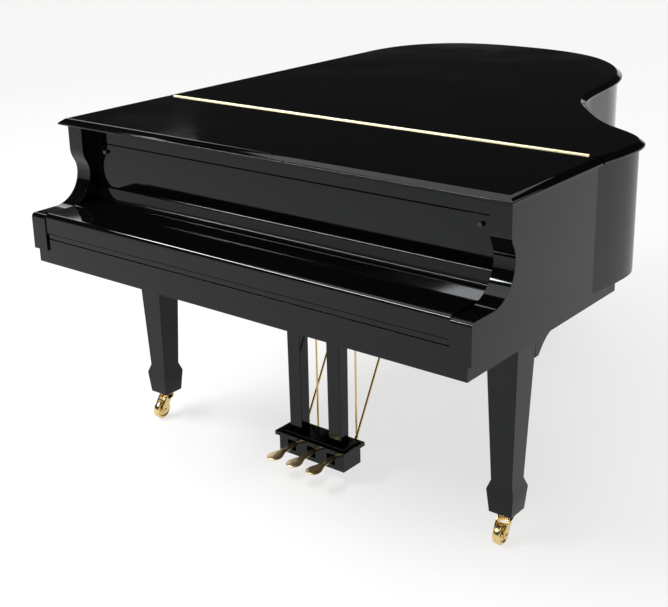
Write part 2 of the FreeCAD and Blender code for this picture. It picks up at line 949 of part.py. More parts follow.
hinge_half = half_width + lid_overhang - lid_top_inset - flap_hinge_end_inset
hinge_axis_height = lid_top + flap_hinge_rise
knuckle_pitch = 2 * hinge_half / flap_hinge_knuckles
leaf_bottom = lid_bottom + lid_bead


def flap_hinge_side(first, side):
    """One leaf of the hinge with every second knuckle; side is +1 on the main lid, -1 on the flap."""
    outer = flap_line + side * flap_hinge_slot
    inner = outer - side * flap_hinge_leaf
    near, far = sorted((outer, inner))
    pieces = [block(Vector(-hinge_half, near, leaf_bottom), Vector(hinge_half, far, lid_top))]
    for number in range(first, flap_hinge_knuckles, 2):
        start = -hinge_half + number * knuckle_pitch + flap_hinge_gap / 2
        length = knuckle_pitch - flap_hinge_gap
        center = Vector(start, flap_line, hinge_axis_height)
        pieces.append(Part.makeCylinder(flap_hinge_radius, length, center, Vector(1, 0, 0)))
        near, far = sorted((outer, flap_line))
        pieces.append(block(
            Vector(start, near, lid_top - flap_hinge_radius),
            Vector(start + length, far, lid_top),
        ))
    return join(pieces)


nodes["flap_hinge_main"] = flap_hinge_side(0, 1)
nodes["flap_hinge_flap"] = flap_hinge_side(1, -1)

# Lid hinges on the spine: a leaf on the rim with the middle knuckle, a leaf under the lid with the outer two

hinge_x = -half_width - lid_hinge_radius
hinge_z = lid_bottom - lid_hinge_radius - seat_gap
rim_leaves = []
lid_leaves = []
for share in lid_hinge_shares:
    middle = share * case_length
    third = lid_hinge_length / 3
    start = middle - lid_hinge_length / 2
    axis_start = Vector(hinge_x, start, hinge_z)
    leaf = block(
        Vector(-half_width - lid_hinge_leaf, start, rim_top - lid_hinge_leaf_height),
        Vector(-half_width, start + lid_hinge_length, hinge_z - lid_hinge_radius - seat_gap),
    )
    knuckle = Part.makeCylinder(
        lid_hinge_radius, third - flap_hinge_gap,
        axis_start + Vector(0, third + flap_hinge_gap / 2, 0), Vector(0, 1, 0),
    )
    web = block(
        Vector(-half_width - lid_hinge_leaf, start + third + flap_hinge_gap / 2, rim_top - 2 * lid_hinge_radius),
        Vector(-half_width, start + 2 * third - flap_hinge_gap / 2, rim_top),
    )
    pin = Part.makeCylinder(lid_hinge_pin_radius, lid_hinge_length, axis_start, Vector(0, 1, 0))
    rim_leaves.append(join([leaf, web, knuckle, pin]))
    pieces = [block(
        Vector(hinge_x, start, lid_bottom - lid_hinge_leaf),
        Vector(hinge_x + lid_hinge_leaf_width, start + third - flap_hinge_gap / 2, lid_bottom),
    ), block(
        Vector(hinge_x, start + 2 * third + flap_hinge_gap / 2, lid_bottom - lid_hinge_leaf),
        Vector(hinge_x + lid_hinge_leaf_width, start + lid_hinge_length, lid_bottom),
    )]
    for offset in (0, 2 * third + flap_hinge_gap / 2):
        pieces.append(Part.makeCylinder(
            lid_hinge_radius, third - flap_hinge_gap / 2, axis_start + Vector(0, offset, 0), Vector(0, 1, 0)
        ))
    bore = Part.makeCylinder(
        lid_hinge_pin_radius + running_gap, lid_hinge_length + 2 * overrun,
        axis_start - Vector(0, overrun, 0), Vector(0, 1, 0),
    )
    for piece in pieces:
        lid_leaves.append(piece.cut(bore))
nodes["lid_hinge_rim"] = Part.makeCompound(rim_leaves)
lid_leaf_groups = []
for pair in range(0, len(lid_leaves), 4):
    first_leaf, second_leaf, first_knuckle, second_knuckle = lid_leaves[pair:pair + 4]
    lid_leaf_groups.append(join([first_leaf, first_knuckle]))
    lid_leaf_groups.append(join([second_leaf, second_knuckle]))
nodes["lid_hinge_lid"] = Part.makeCompound(lid_leaf_groups)

# Lid prop, lying forwards along the treble wall on its pivot stud and a clip

prop_right = arm_inside - prop_wall_gap
prop_x = prop_right - prop_side / 2
prop_bar = block(
    Vector(prop_x - prop_side / 2, prop_tip, prop_level - prop_side / 2),
    Vector(prop_x + prop_side / 2, prop_pivot_line, prop_level + prop_side / 2),
)
prop_eye = Part.makeCylinder(
    prop_cup_radius, prop_side, Vector(prop_x - prop_side / 2, prop_pivot_line, prop_level), Vector(1, 0, 0)
)
prop_stud = rod(
    Vector(prop_x, prop_pivot_line, prop_level),
    Vector(half_width - rim_wall / 2, prop_pivot_line, prop_level),
    prop_pin_radius,
).cut(rim)
prop_clip = block(
    Vector(prop_right, prop_tip + prop_side, prop_level - prop_side / 2),
    Vector(arm_inside, prop_tip + 2 * prop_side, prop_level + prop_side / 2),
)
nodes["lid_prop"] = join([prop_bar, prop_eye, prop_stud, prop_clip])

# Music desk: rails on the arms, a sliding tray with a front board, and a panel folded flat on it

rails = []
for side in (-1, 1):
    ends = sorted((side * arm_inside, side * (arm_inside - desk_rail_width)))
    rails.append(block(
        Vector(ends[0], desk_rail_start, desk_level - desk_rail_height),
        Vector(ends[1], action_bay_end, desk_level),
    ))
nodes["desk_rails"] = Part.makeCompound(rails)
desk_half = arm_inside - desk_side_gap
tray_bottom = desk_level + seat_gap
tray_top = tray_bottom + desk_tray_thickness
tray_end = stretcher_face + desk_tray_depth
tray = block(Vector(-desk_half, stretcher_face, tray_bottom), Vector(desk_half, tray_end, tray_top))
desk_front = block(
    Vector(-desk_half, stretcher_face, tray_bottom),
    Vector(desk_half, stretcher_face + desk_front_thickness, tray_bottom + desk_front_height),
)
desk_hinge_line = stretcher_face + desk_front_thickness + desk_ledge_depth
desk_axis = Vector(0, desk_hinge_line, tray_top + desk_hinge_radius + seat_gap)
desk_half_panel = desk_panel_width / 2
ears = []
for side in (-1, 1):
    inner = side * (desk_half_panel + seat_gap)
    outer = inner + side * desk_hinge_length / 2
    ends = sorted((inner, outer))
    ears.append(block(
        Vector(ends[0], desk_axis.y - desk_hinge_radius, tray_top),
        Vector(ends[1], desk_axis.y + desk_hinge_radius, desk_axis.z + desk_hinge_radius),
    ))
    ears.append(rod(
        Vector(inner + side * overrun, desk_axis.y, desk_axis.z),
        Vector(inner - side * desk_hinge_length / 2, desk_axis.y, desk_axis.z),
        desk_hinge_radius / 2,
    ))
nodes["desk_tray"] = join([tray, desk_front] + ears)
panel_bottom = desk_axis.z - desk_hinge_radius
panel = block(
    Vector(-desk_half_panel, desk_axis.y, panel_bottom),
    Vector(desk_half_panel, desk_axis.y + desk_panel_height, panel_bottom + desk_panel_thickness),
)
panel_roll = Part.makeCylinder(
    desk_hinge_radius, desk_panel_width, Vector(-desk_half_panel, desk_axis.y, desk_axis.z), Vector(1, 0, 0)
)
panel_bore = Part.makeCylinder(
    desk_hinge_radius / 2 + running_gap, desk_panel_width + 2 * overrun,
    Vector(-desk_half_panel - overrun, desk_axis.y, desk_axis.z), Vector(1, 0, 0),
)
nodes["desk_panel"] = join([panel, panel_roll]).cut(panel_bore)

# Legs: tapered square legs with a spade foot, under a square plate

def square(center, width, height):
    half = width / 2
    corners = [(-half, -half), (half, -half), (half, half), (-half, half), (-half, -half)]
    return Part.makePolygon([Vector(center.x + x, center.y + y, height) for x, y in corners])


def leg(center, top):
    plate_bottom = top - leg_plate_thickness
    stations = (
        (leg_top_width, plate_bottom),
        (leg_ankle_width, leg_ankle_height),
        (foot_width, foot_height),
        (foot_base_width, foot_bottom),
    )
    wires = [square(center, width, height) for width, height in stations]
    shaft = Part.makeLoft(wires, True, True)
    plate = block(
        Vector(center.x - leg_plate_width / 2, center.y - leg_plate_width / 2, plate_bottom),
        Vector(center.x + leg_plate_width / 2, center.y + leg_plate_width / 2, top),
    )
    socket = Part.makeCylinder(
        stem_radius + running_gap, stem_length + seat_gap + overrun, Vector(center.x, center.y, foot_bottom - overrun)
    )
    return join([shaft, plate]).cut(socket)


leg_places = {
    "left": (Vector(-leg_spread, leg_line, 0), keybed_bottom),
    "right": (Vector(leg_spread, leg_line, 0), keybed_bottom),
    "rear": (Vector(rear_leg_place, rear_leg_line, 0), rim_bottom),
}
for name, (center, top) in leg_places.items():
    nodes["leg_" + name] = leg(center, top)

# Curved brackets behind the front legs

brackets = []
for side in (-1, 1):
    back = leg_line + leg_plate_width / 2
    top = keybed_bottom
    start = Vector(side * leg_spread - bracket_width / 2, back, top)
    low = start - Vector(0, 0, bracket_radius)
    far = start + Vector(0, bracket_radius, 0)
    hollow = Vector(start.x, back + bracket_radius * (1 - quarter), top - bracket_radius * (1 - quarter))
    edges = [
        Part.makeLine(start, low),
        Part.Arc(low, hollow, far).toShape(),
        Part.makeLine(far, start),
    ]
    brackets.append(Part.Face(Part.Wire(edges)).extrude(Vector(bracket_width, 0, 0)))
nodes["leg_brackets"] = Part.makeCompound(brackets)

# Casters: a fork on a stem that turns in the leg, and a wheel on the fork's axle

def caster(center):
    top = foot_bottom - seat_gap
    plate_bottom = top - fork_plate_thickness
    axle = Vector(center.x, center.y - caster_trail, wheel_radius)
    inner = wheel_width / 2 + fork_gap
    pieces = [
        Part.makeCylinder(fork_plate_radius, fork_plate_thickness, Vector(center.x, center.y, plate_bottom)),
        Part.makeCylinder(stem_radius, stem_length, Vector(center.x, center.y, top)),
    ]
    for side in (-1, 1):
        ends = sorted((side * inner, side * (inner + fork_arm_thickness)))
        arm = polygon([
            Vector(center.x + ends[0], center.y - fork_arm_width, plate_bottom),
            Vector(center.x + ends[0], center.y + fork_arm_width / 2, plate_bottom),
            Vector(center.x + ends[0], axle.y + fork_arm_width / 2, axle.z),
            Vector(center.x + ends[0], axle.y + fork_arm_width / 2, axle.z - fork_arm_width / 2),
            Vector(center.x + ends[0], axle.y - fork_arm_width / 2, axle.z - fork_arm_width / 2),
            Vector(center.x + ends[0], axle.y - fork_arm_width / 2, axle.z),
        ]).extrude(Vector(fork_arm_thickness, 0, 0))
        pieces.append(arm)
    half_axle = Vector(inner + fork_arm_thickness, 0, 0)
    pieces.append(rod(axle - half_axle, axle + half_axle, axle_radius))
    crown = fork_plate_thickness
    pieces.append(block(
        Vector(center.x - inner, center.y - fork_arm_width, plate_bottom),
        Vector(center.x + inner, center.y, plate_bottom + crown),
    ))
    fork = join(pieces)
    tyre = Part.makeCylinder(wheel_radius, wheel_width, axle - Vector(wheel_width / 2, 0, 0), Vector(1, 0, 0))
    rims = [edge for edge in tyre.Edges if edge.Curve.TypeId == "Part::GeomCircle"]
    tyre = tyre.makeChamfer(wheel_edge, rims)
    bore = Part.makeCylinder(
        axle_radius + running_gap, wheel_width + 2 * overrun,
        axle - Vector(wheel_width / 2 + overrun, 0, 0), Vector(1, 0, 0),
    )
    return fork, tyre.cut(bore)


for name, (center, top) in leg_places.items():
    nodes["caster_fork_" + name], nodes["caster_wheel_" + name] = caster(center)

# Lyre: a head under the keybed, two posts, a box with three slots, brass braces behind

head_bottom = keybed_bottom - lyre_head_height
nodes["lyre_head"] = block(
    Vector(-lyre_head_width / 2, lyre_line - lyre_head_depth / 2, head_bottom),
    Vector(lyre_head_width / 2, lyre_line + lyre_head_depth / 2, keybed_bottom),
)
box_top = lyre_box_bottom + lyre_box_height
plate_lid_top = box_top + lyre_plate_height
posts = []
for side in (-1, 1):
    wires = []
    for height, share in ((plate_lid_top, lyre_post_taper_share), (head_bottom, 1)):
        half_x = lyre_post_width * share / 2
        half_y = lyre_post_depth * share / 2
        center_x = side * lyre_post_spread
        corners = [(-half_x, -half_y), (half_x, -half_y), (half_x, half_y), (-half_x, half_y), (-half_x, -half_y)]
        wires.append(Part.makePolygon([Vector(center_x + x, lyre_line + y, height) for x, y in corners]))
    posts.append(Part.makeLoft(wires, True, True))
nodes["lyre_posts"] = Part.makeCompound(posts)
box_front = lyre_line - lyre_box_depth / 2
box_back = lyre_line + lyre_box_depth / 2
lyre_box = block(
    Vector(-lyre_box_width / 2, box_front, lyre_box_bottom),
    Vector(lyre_box_width / 2, box_back, box_top),
)
lyre_plate = block(
    Vector(-lyre_box_width / 2 - lyre_plate_lip, box_front - lyre_plate_lip, box_top),
    Vector(lyre_box_width / 2 + lyre_plate_lip, box_back + lyre_plate_lip, plate_lid_top),
)
lyre_box = join([lyre_box, lyre_plate])
pedal_axis = Vector(0, box_front + pedal_pivot_back, pedal_level)
pins = []
for number in (-1, 0, 1):
    middle = number * pedal_pitch
    slot = block(
        Vector(middle - pedal_slot_width / 2, box_front - overrun, pedal_slot_bottom),
        Vector(middle + pedal_slot_width / 2, box_back + overrun, pedal_slot_bottom + pedal_slot_height),
    )
    lyre_box = lyre_box.cut(slot)
    pins.append(rod(
        pedal_axis + Vector(middle - pedal_slot_width / 2, 0, 0),
        pedal_axis + Vector(middle + pedal_slot_width / 2, 0, 0),
        pedal_pin_radius,
    ))
nodes["lyre_box"] = join([lyre_box] + pins)
braces = []
for side in (-1, 1):
    foot = Vector(side * brace_spread, box_back + lyre_plate_lip + brace_radius, brace_foot_height)
    head = Vector(side * brace_spread, brace_tail, keybed_bottom)
    brace = rod(foot, head + (head - foot) * (brace_radius / (head - foot).Length * 2), brace_radius)
    above = block(
        Vector(foot.x - brace_width_room, foot.y, keybed_bottom),
        Vector(foot.x + brace_width_room, head.y + brace_width_room, keybed_bottom + brace_width_room),
    )
    lug = block(
        Vector(foot.x - brace_radius, box_back + lyre_plate_lip, brace_foot_height - brace_radius),
        Vector(foot.x + brace_radius, box_back + lyre_plate_lip + 2 * brace_radius, brace_foot_height + brace_radius),
    )
    braces.append(join([brace, lug]).cut(above))
nodes["lyre_braces"] = Part.makeCompound(braces)

# Pedals and the rods that they push up into the keybed

pedal_names = ("left", "middle", "right")
for number, name in zip((-1, 0, 1), pedal_names):
    middle = number * pedal_pitch
    tip = box_front - pedal_tip_reach
    shoulder = box_front - pedal_shoulder_reach
    tail = box_front + pedal_tail_reach
    neck = pedal_neck_width / 2
    wide = pedal_tip_width / 2
    edges = [
        Part.makeLine(Vector(middle + neck, tail, 0), Vector(middle + neck, shoulder, 0)),
        Part.makeLine(Vector(middle + neck, shoulder, 0), Vector(middle + wide, tip + wide, 0)),
        Part.Arc(
            Vector(middle + wide, tip + wide, 0), Vector(middle, tip, 0), Vector(middle - wide, tip + wide, 0)
        ).toShape(),
        Part.makeLine(Vector(middle - wide, tip + wide, 0), Vector(middle - neck, shoulder, 0)),
        Part.makeLine(Vector(middle - neck, shoulder, 0), Vector(middle - neck, tail, 0)),
        Part.makeLine(Vector(middle - neck, tail, 0), Vector(middle + neck, tail, 0)),
    ]
    pedal = Part.Face(Part.Wire(edges)).extrude(Vector(0, 0, pedal_thickness))
    pedal.translate(Vector(0, 0, pedal_level - pedal_thickness / 2))
    boss = Part.makeCylinder(
        pedal_thickness / 2, pedal_neck_width, pedal_axis + Vector(middle - neck, 0, 0), Vector(1, 0, 0)
    )
    bore = Part.makeCylinder(
        pedal_pin_radius + running_gap, pedal_slot_width, pedal_axis + Vector(middle - pedal_slot_width / 2, 0, 0),
        Vector(1, 0, 0),
    )
    nodes["pedal_" + name] = join([pedal, boss]).cut(bore)
    rod_foot = Vector(middle, pedal_rod_line, pedal_level + pedal_thickness / 2 + seat_gap + pedal_rod_radius)
    rod_top = Vector(middle, pedal_rod_line, guide_top - pedal_rod_travel)
    rod_body = rod(rod_foot, rod_top, pedal_rod_radius)
    rod_end = Part.makeSphere(pedal_rod_radius, rod_foot)
    nodes["pedal_rod_" + name] = join([rod_body, rod_end])

# The middle of the footprint becomes the origin, and each piece is written to its own file

footprint = Part.makeCompound([nodes["rim"], nodes["lid_main"], nodes["lid_flap"]]).optimalBoundingBox(False, False)
to_origin = Vector(-footprint.Center.x, -footprint.Center.y, 0)
os.makedirs("parts", exist_ok=True)
for name, shape in nodes.items():
    shape.translate(to_origin)
    shape.exportStep(os.path.join("parts", name + ".step"))
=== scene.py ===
import bpy
import bmesh
import math
from mathutils import Matrix, Vector
from mathutils.bvhtree import BVHTree


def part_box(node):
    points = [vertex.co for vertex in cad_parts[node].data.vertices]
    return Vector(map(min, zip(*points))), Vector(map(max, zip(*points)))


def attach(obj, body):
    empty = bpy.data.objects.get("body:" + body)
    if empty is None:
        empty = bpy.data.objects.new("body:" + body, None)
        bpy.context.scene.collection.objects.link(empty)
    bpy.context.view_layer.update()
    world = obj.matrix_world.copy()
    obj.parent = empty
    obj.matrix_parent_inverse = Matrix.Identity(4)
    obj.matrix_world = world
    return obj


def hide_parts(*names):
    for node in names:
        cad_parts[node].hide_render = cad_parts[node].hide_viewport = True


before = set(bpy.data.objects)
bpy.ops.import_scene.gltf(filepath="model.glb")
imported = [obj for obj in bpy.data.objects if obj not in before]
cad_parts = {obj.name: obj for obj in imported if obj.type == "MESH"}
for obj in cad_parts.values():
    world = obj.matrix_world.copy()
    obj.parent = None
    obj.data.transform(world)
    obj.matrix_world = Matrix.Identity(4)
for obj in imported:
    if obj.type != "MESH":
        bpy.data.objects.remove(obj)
scene = bpy.context.scene
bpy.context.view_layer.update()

# The studio. A wide sheet of white paper under a broad soft light, with a low pale wall all round
# and a dark room above it, so that the lid stays black. A long strip light draws bright lines on
# the rounded edges round the keyboard, and a small softbox lights the bass side.
scene.view_settings.view_transform = "Standard"
floor_radius = 45.0
floor_sides = 96
floor_paper = (0.93, 0.93, 0.925)
paper_glow_share = 0.72
sky_strength = 2.4
sky_spread = math.radians(72)
sky_lean = math.radians(9)
sky_turn = math.radians(-35)
sky_color = (1.0, 0.99, 0.975)
strip_place = Vector((-2.2, -2.6, 3.3))
strip_target = Vector((0.1, -0.95, 0.85))
strip_size = (2.8, 0.3)
strip_power = 160.0
side_place = Vector((-4.6, 2.2, 3.0))
side_target = Vector((-0.5, -0.8, 0.8))
side_size = (1.9, 1.5)
side_power = 20.0
wall_level = 0.75
room_level = 0.018
wall_top_share = 0.09
room_start_share = 0.15

bpy.ops.mesh.primitive_circle_add(vertices=floor_sides, radius=floor_radius, fill_type="NGON")
floor = bpy.context.object
floor.name = "studio_floor"
paper = bpy.data.materials.new("floor_paper")
paper.use_nodes = True
paper_nodes = paper.node_tree.nodes
paper_links = paper.node_tree.links
paper_shader = paper_nodes["Principled BSDF"]
paper_shader.inputs["Base Color"].default_value = (*floor_paper, 1)
paper_shader.inputs["Roughness"].default_value = 0.9
paper_shader.inputs["Specular IOR Level"].default_value = 0.0
paper_glow = paper_nodes.new("ShaderNodeEmission")
paper_rays = paper_nodes.new("ShaderNodeLightPath")
paper_seen = paper_nodes.new("ShaderNodeMath")
paper_seen.operation = "ADD"
paper_shown = paper_nodes.new("ShaderNodeMath")
paper_shown.operation = "ADD"
paper_shown.use_clamp = True
paper_share = paper_nodes.new("ShaderNodeMath")
paper_share.operation = "MULTIPLY"
paper_share.inputs[1].default_value = paper_glow_share
paper_mix = paper_nodes.new("ShaderNodeMixShader")
paper_links.new(paper_rays.outputs["Is Camera Ray"], paper_seen.inputs[0])
paper_links.new(paper_rays.outputs["Is Glossy Ray"], paper_seen.inputs[1])
paper_links.new(paper_seen.outputs[0], paper_shown.inputs[0])
paper_links.new(paper_rays.outputs["Is Transmission Ray"], paper_shown.inputs[1])
paper_links.new(paper_shown.outputs[0], paper_share.inputs[0])
paper_links.new(paper_share.outputs[0], paper_mix.inputs["Fac"])
paper_links.new(paper_shader.outputs["BSDF"], paper_mix.inputs[1])
paper_links.new(paper_glow.outputs["Emission"], paper_mix.inputs[2])
paper_links.new(paper_mix.outputs["Shader"], paper_nodes["Material Output"].inputs["Surface"])
floor.data.materials.append(paper)

sky = bpy.data.lights.new("broad_overhead_light", "SUN")
sky.energy = sky_strength
sky.angle = sky_spread
sky.color = sky_color
sky_object = bpy.data.objects.new("broad_overhead_light", sky)
sky_object.rotation_euler = (sky_lean, 0, sky_turn)
scene.collection.objects.link(sky_object)


def softbox(name, place, target, size, power):
    """A flat lamp with a white cloth front, turned to face a point on the piano."""
    box = bpy.data.lights.new(name, "AREA")
    box.shape = "RECTANGLE"
    box.size = size[0]
    box.size_y = size[1]
    box.energy = power
    box_object = bpy.data.objects.new(name, box)
    box_object.location = place
    box_object.rotation_euler = (target - place).to_track_quat("-Z", "Y").to_euler()
    scene.collection.objects.link(box_object)


softbox("strip_softbox", strip_place, strip_target, strip_size, strip_power)
softbox("side_softbox", side_place, side_target, side_size, side_power)

room = bpy.data.worlds.new("studio_room")
room.use_nodes = True
room_nodes = room.node_tree.nodes
room_links = room.node_tree.links
room_direction = room_nodes.new("ShaderNodeTexCoord")
room_parts = room_nodes.new("ShaderNodeSeparateXYZ")
room_nodes["Background"].inputs["Color"].default_value = (1, 1, 1, 1)
room_fade = room_nodes.new("ShaderNodeMapRange")
room_fade.interpolation_type = "SMOOTHSTEP"
room_fade.inputs["From Min"].default_value = wall_top_share
room_fade.inputs["From Max"].default_value = room_start_share
room_fade.inputs["To Min"].default_value = wall_level
room_fade.inputs["To Max"].default_value = room_level
room_links.new(room_direction.outputs["Generated"], room_parts.inputs["Vector"])
room_links.new(room_parts.outputs["Z"], room_fade.inputs["Value"])
room_links.new(room_fade.outputs["Result"], room_nodes["Background"].inputs["Strength"])
scene.world = room

# The camera stands to the right of the keyboard at eye height, and looks down across the lid
# towards the bass side.
photo_width = 668.0
camera_sensor = 36.0
camera_shift = -0.08
camera_place = Vector((1.98910, -3.03515, 1.69014))
camera_yaw = 0.6773
camera_pitch = -0.3161
camera_roll = -0.0215
camera_focus = 1194.89

camera = bpy.data.cameras.new("photo_camera")
camera.sensor_width = camera_sensor
camera.lens = camera_focus * camera_sensor / photo_width
camera.shift_y = camera_shift
camera_object = bpy.data.objects.new("photo_camera", camera)
ahead = Vector((
    -math.sin(camera_yaw) * math.cos(camera_pitch),
    math.cos(camera_yaw) * math.cos(camera_pitch),
    math.sin(camera_pitch),
))
level_right = Vector((math.cos(camera_yaw), math.sin(camera_yaw), 0))
level_up = level_right.cross(ahead)
right = level_right * math.cos(camera_roll) + level_up * math.sin(camera_roll)
up = level_up * math.cos(camera_roll) - level_right * math.sin(camera_roll)
turn = Matrix((right, up, -ahead)).transposed()
camera_object.matrix_world = Matrix.Translation(camera_place) @ turn.to_4x4()
scene.collection.objects.link(camera_object)
scene.camera = camera_object

# Rim: thin layers of beech bent round a press and glued, with the two arms in one piece with
# it. It is sprayed with black polyester, sanded flat and buffed until it mirrors.
lacquer_black = (0.0010, 0.0010, 0.0011)
lacquer_haze = (0.0020, 0.0020, 0.0023)
lacquer_levels = {"IOR": 1.5, "Specular IOR Level": 0.27, "Specular Tint": (0.93, 0.97, 1.0, 1)}
lacquer_roughness = 0.035
lacquer_rubbed_roughness = 0.077
rim_edge = 0.0016
weld_distance = 2e-5
flat_angle = math.radians(0.3)


def new_finish(name, levels):
    """A new finish, with the levels that are the same all over set on its shader."""
    finish = bpy.data.materials.new(name)
    finish.use_nodes = True
    shader = finish.node_tree.nodes["Principled BSDF"]
    for level, value in levels.items():
        shader.inputs[level].default_value = value
    return finish


def feed(finish, level, output):
    """Lets a node's output set one level of a finish's shader."""
    shader = finish.node_tree.nodes["Principled BSDF"]
    finish.node_tree.links.new(output, shader.inputs[level])


def place_on(finish):
    """Where each point of the surface lies on the piano."""
    return finish.node_tree.nodes.new("ShaderNodeTexCoord").outputs["Object"]


def cloud(finish, place, scale, detail=2.0):
    """Cloudy noise that runs from 0 to 1."""
    noise = finish.node_tree.nodes.new("ShaderNodeTexNoise")
    noise.inputs["Scale"].default_value = scale
    noise.inputs["Detail"].default_value = detail
    finish.node_tree.links.new(place, noise.inputs["Vector"])
    return noise.outputs["Fac"]


def spread(finish, share, low, high, start=0.0, end=1.0):
    """A level that goes from low to high while a share goes from start to end."""
    levels = finish.node_tree.nodes.new("ShaderNodeMapRange")
    limits = {"From Min": start, "From Max": end, "To Min": low, "To Max": high}
    for limit, value in limits.items():
        levels.inputs[limit].default_value = value
    finish.node_tree.links.new(share, levels.inputs["Value"])
    return levels.outputs["Result"]


def tones(finish, share, first, second):
    """A colour between two tones, by a share. A tone is a colour or another node's output."""
    mix = finish.node_tree.nodes.new("ShaderNodeMix")
    mix.data_type = "RGBA"
    finish.node_tree.links.new(share, mix.inputs["Factor"])
    sockets = [socket for socket in mix.inputs if socket.type == "RGBA"]
    for tone, socket in zip((first, second), sockets):
        if isinstance(tone, tuple):
            socket.default_value = (*tone, 1)
        else:
            finish.node_tree.links.new(tone, socket)
    return next(socket for socket in mix.outputs if socket.type == "RGBA")


def relief(finish, height, strength, depth):
    """Lets a height raise the surface a little."""
    bump = finish.node_tree.nodes.new("ShaderNodeBump")
    bump.inputs["Strength"].default_value = strength
    bump.inputs["Distance"].default_value = depth
    finish.node_tree.links.new(height, bump.inputs["Height"])
    feed(finish, "Normal", bump.outputs["Normal"])


def black_lacquer():
    """Buffed polyester: a mirror with the faint waves and hazy rubbing marks of hand finishing."""
    finish = new_finish("black_lacquer", lacquer_levels)
    place = place_on(finish)
    haze = cloud(finish, place, 5.0, 6.0)
    gloss = spread(finish, haze, lacquer_roughness, lacquer_rubbed_roughness, 0.35, 0.75)
    feed(finish, "Base Color", tones(finish, haze, lacquer_black, lacquer_haze))
    feed(finish, "Roughness", gloss)
    relief(finish, cloud(finish, place, 9.0, 1.0), 0.008, 0.01)
    return finish


lacquer = black_lacquer()


def plain_mesh(piece):
    """What the modifiers make of a piece, kept as its own mesh with no modifier left on it."""
    bpy.context.view_layer.update()
    graph = bpy.context.evaluated_depsgraph_get()
    mesh = bpy.data.meshes.new_from_object(piece.evaluated_get(graph))
    piece.modifiers.clear()
    piece.data = mesh
    return piece


def finished(shape, name, material, edge, rounds=3, crease=32.0):
    """A piece from its rough shape, with the sharp edges eased as sanding and buffing leave them."""
    bmesh.ops.recalc_face_normals(shape, faces=shape.faces)
    mesh = bpy.data.meshes.new(name)
    shape.to_mesh(mesh)
    shape.free()
    mesh.materials.append(material)
    mesh.shade_smooth()
    mesh.set_sharp_from_angle(angle=math.radians(crease))
    piece = bpy.data.objects.new(name, mesh)
    scene.collection.objects.link(piece)
    if edge:
        bevel = piece.modifiers.new("ease", "BEVEL")
        bevel.width = edge
        bevel.segments = rounds
        bevel.limit_method = "ANGLE"
        bevel.angle_limit = math.radians(crease)
        bevel.harden_normals = True
    flats = piece.modifiers.new("flats", "WEIGHTED_NORMAL")
    flats.mode = "FACE_AREA"
    flats.weight = 60
    flats.keep_sharp = True
    return plain_mesh(piece)


def placed(piece, body, slot, *nodes):
    """Fixes a piece to the body that it moves with, in the place of the solids that it stands for."""
    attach(piece, body)
    for node in nodes:
        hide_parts(node)
    return piece


def welded(node):
    """A copy of a solid's mesh, with its loose triangles joined at their corners."""
    shape = bmesh.new()
    shape.from_mesh(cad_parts[node].data)
    bmesh.ops.remove_doubles(shape, verts=shape.verts, dist=weld_distance)
    return shape


def solid_shape(node):
    """The shape of a solid, with its triangles joined into whole faces."""
    shape = welded(node)
    bmesh.ops.dissolve_limit(shape, angle_limit=flat_angle, verts=shape.verts, edges=shape.edges)
    return shape


def eased(node, body, slot, material, edge, rounds=3, crease=32.0):
    """A piece in the place of a solid, with its edges eased."""
    piece = finished(solid_shape(node), "eased_" + node, material, edge, rounds, crease)
    return placed(piece, body, slot, node)


eased("rim", "case", "black_lacquer", lacquer, rim_edge)

# Inside of the case: beech beams glued across the rim, under the thin spruce soundboard with its
# ribs, and two maple bridges glued on top of it. The block for the tuning pins is maple too.
beam_wood = (0.56, 0.38, 0.21)
beam_wood_dark = (0.42, 0.26, 0.13)
spruce_pale = (0.74, 0.52, 0.28)
spruce_dark = (0.58, 0.36, 0.16)
maple_pale = (0.46, 0.28, 0.14)
maple_dark = (0.33, 0.18, 0.08)
grain_stretch = (1.0, 0.06, 1.0)
grain_line_share = 0.45
grain_drift_share = 0.3


def stretched(finish, scale):
    """Where each point lies, scaled so that a pattern on it is drawn out along Y."""
    stretch = finish.node_tree.nodes.new("ShaderNodeMapping")
    stretch.inputs["Scale"].default_value = scale
    finish.node_tree.links.new(place_on(finish), stretch.inputs["Vector"])
    return stretch.outputs["Vector"]


def planed_wood(name, pale, dark, grain, roughness):
    """Straight-grained wood along Y: growth lines, slow colour drift and fine pores."""
    finish = new_finish(name, {"Roughness": roughness})
    nodes = finish.node_tree.nodes
    links = finish.node_tree.links
    place = stretched(finish, grain_stretch)
    lines = nodes.new("ShaderNodeTexWave")
    lines.bands_direction = "X"
    lines.inputs["Scale"].default_value = grain
    lines.inputs["Distortion"].default_value = 2.5
    lines.inputs["Detail"].default_value = 3.0
    blend = nodes.new("ShaderNodeMath")
    blend.operation = "MULTIPLY_ADD"
    blend.inputs[1].default_value = grain_line_share
    links.new(place, lines.inputs["Vector"])
    links.new(lines.outputs["Fac"], blend.inputs[0])
    links.new(cloud(finish, place, grain * grain_drift_share, 5.0), blend.inputs[2])
    feed(finish, "Base Color", tones(finish, blend.outputs[0], pale, dark))
    relief(finish, lines.outputs["Fac"], 0.12, 0.001)
    return finish


def finish_node(node, finish):
    """Gives a solid that stays as it is the finish of the real piece."""
    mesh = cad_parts[node].data
    mesh.materials.clear()
    mesh.materials.append(finish)


beech = planed_wood("beech", beam_wood, beam_wood_dark, 60.0, 0.5)
spruce = planed_wood("varnished_spruce", spruce_pale, spruce_dark, 130.0, 0.32)
maple = planed_wood("bridge_maple", maple_pale, maple_dark, 70.0, 0.4)
finish_node("bracing", beech)
finish_node("soundboard", spruce)
finish_node("bridges", maple)
finish_node("pin_block", maple)

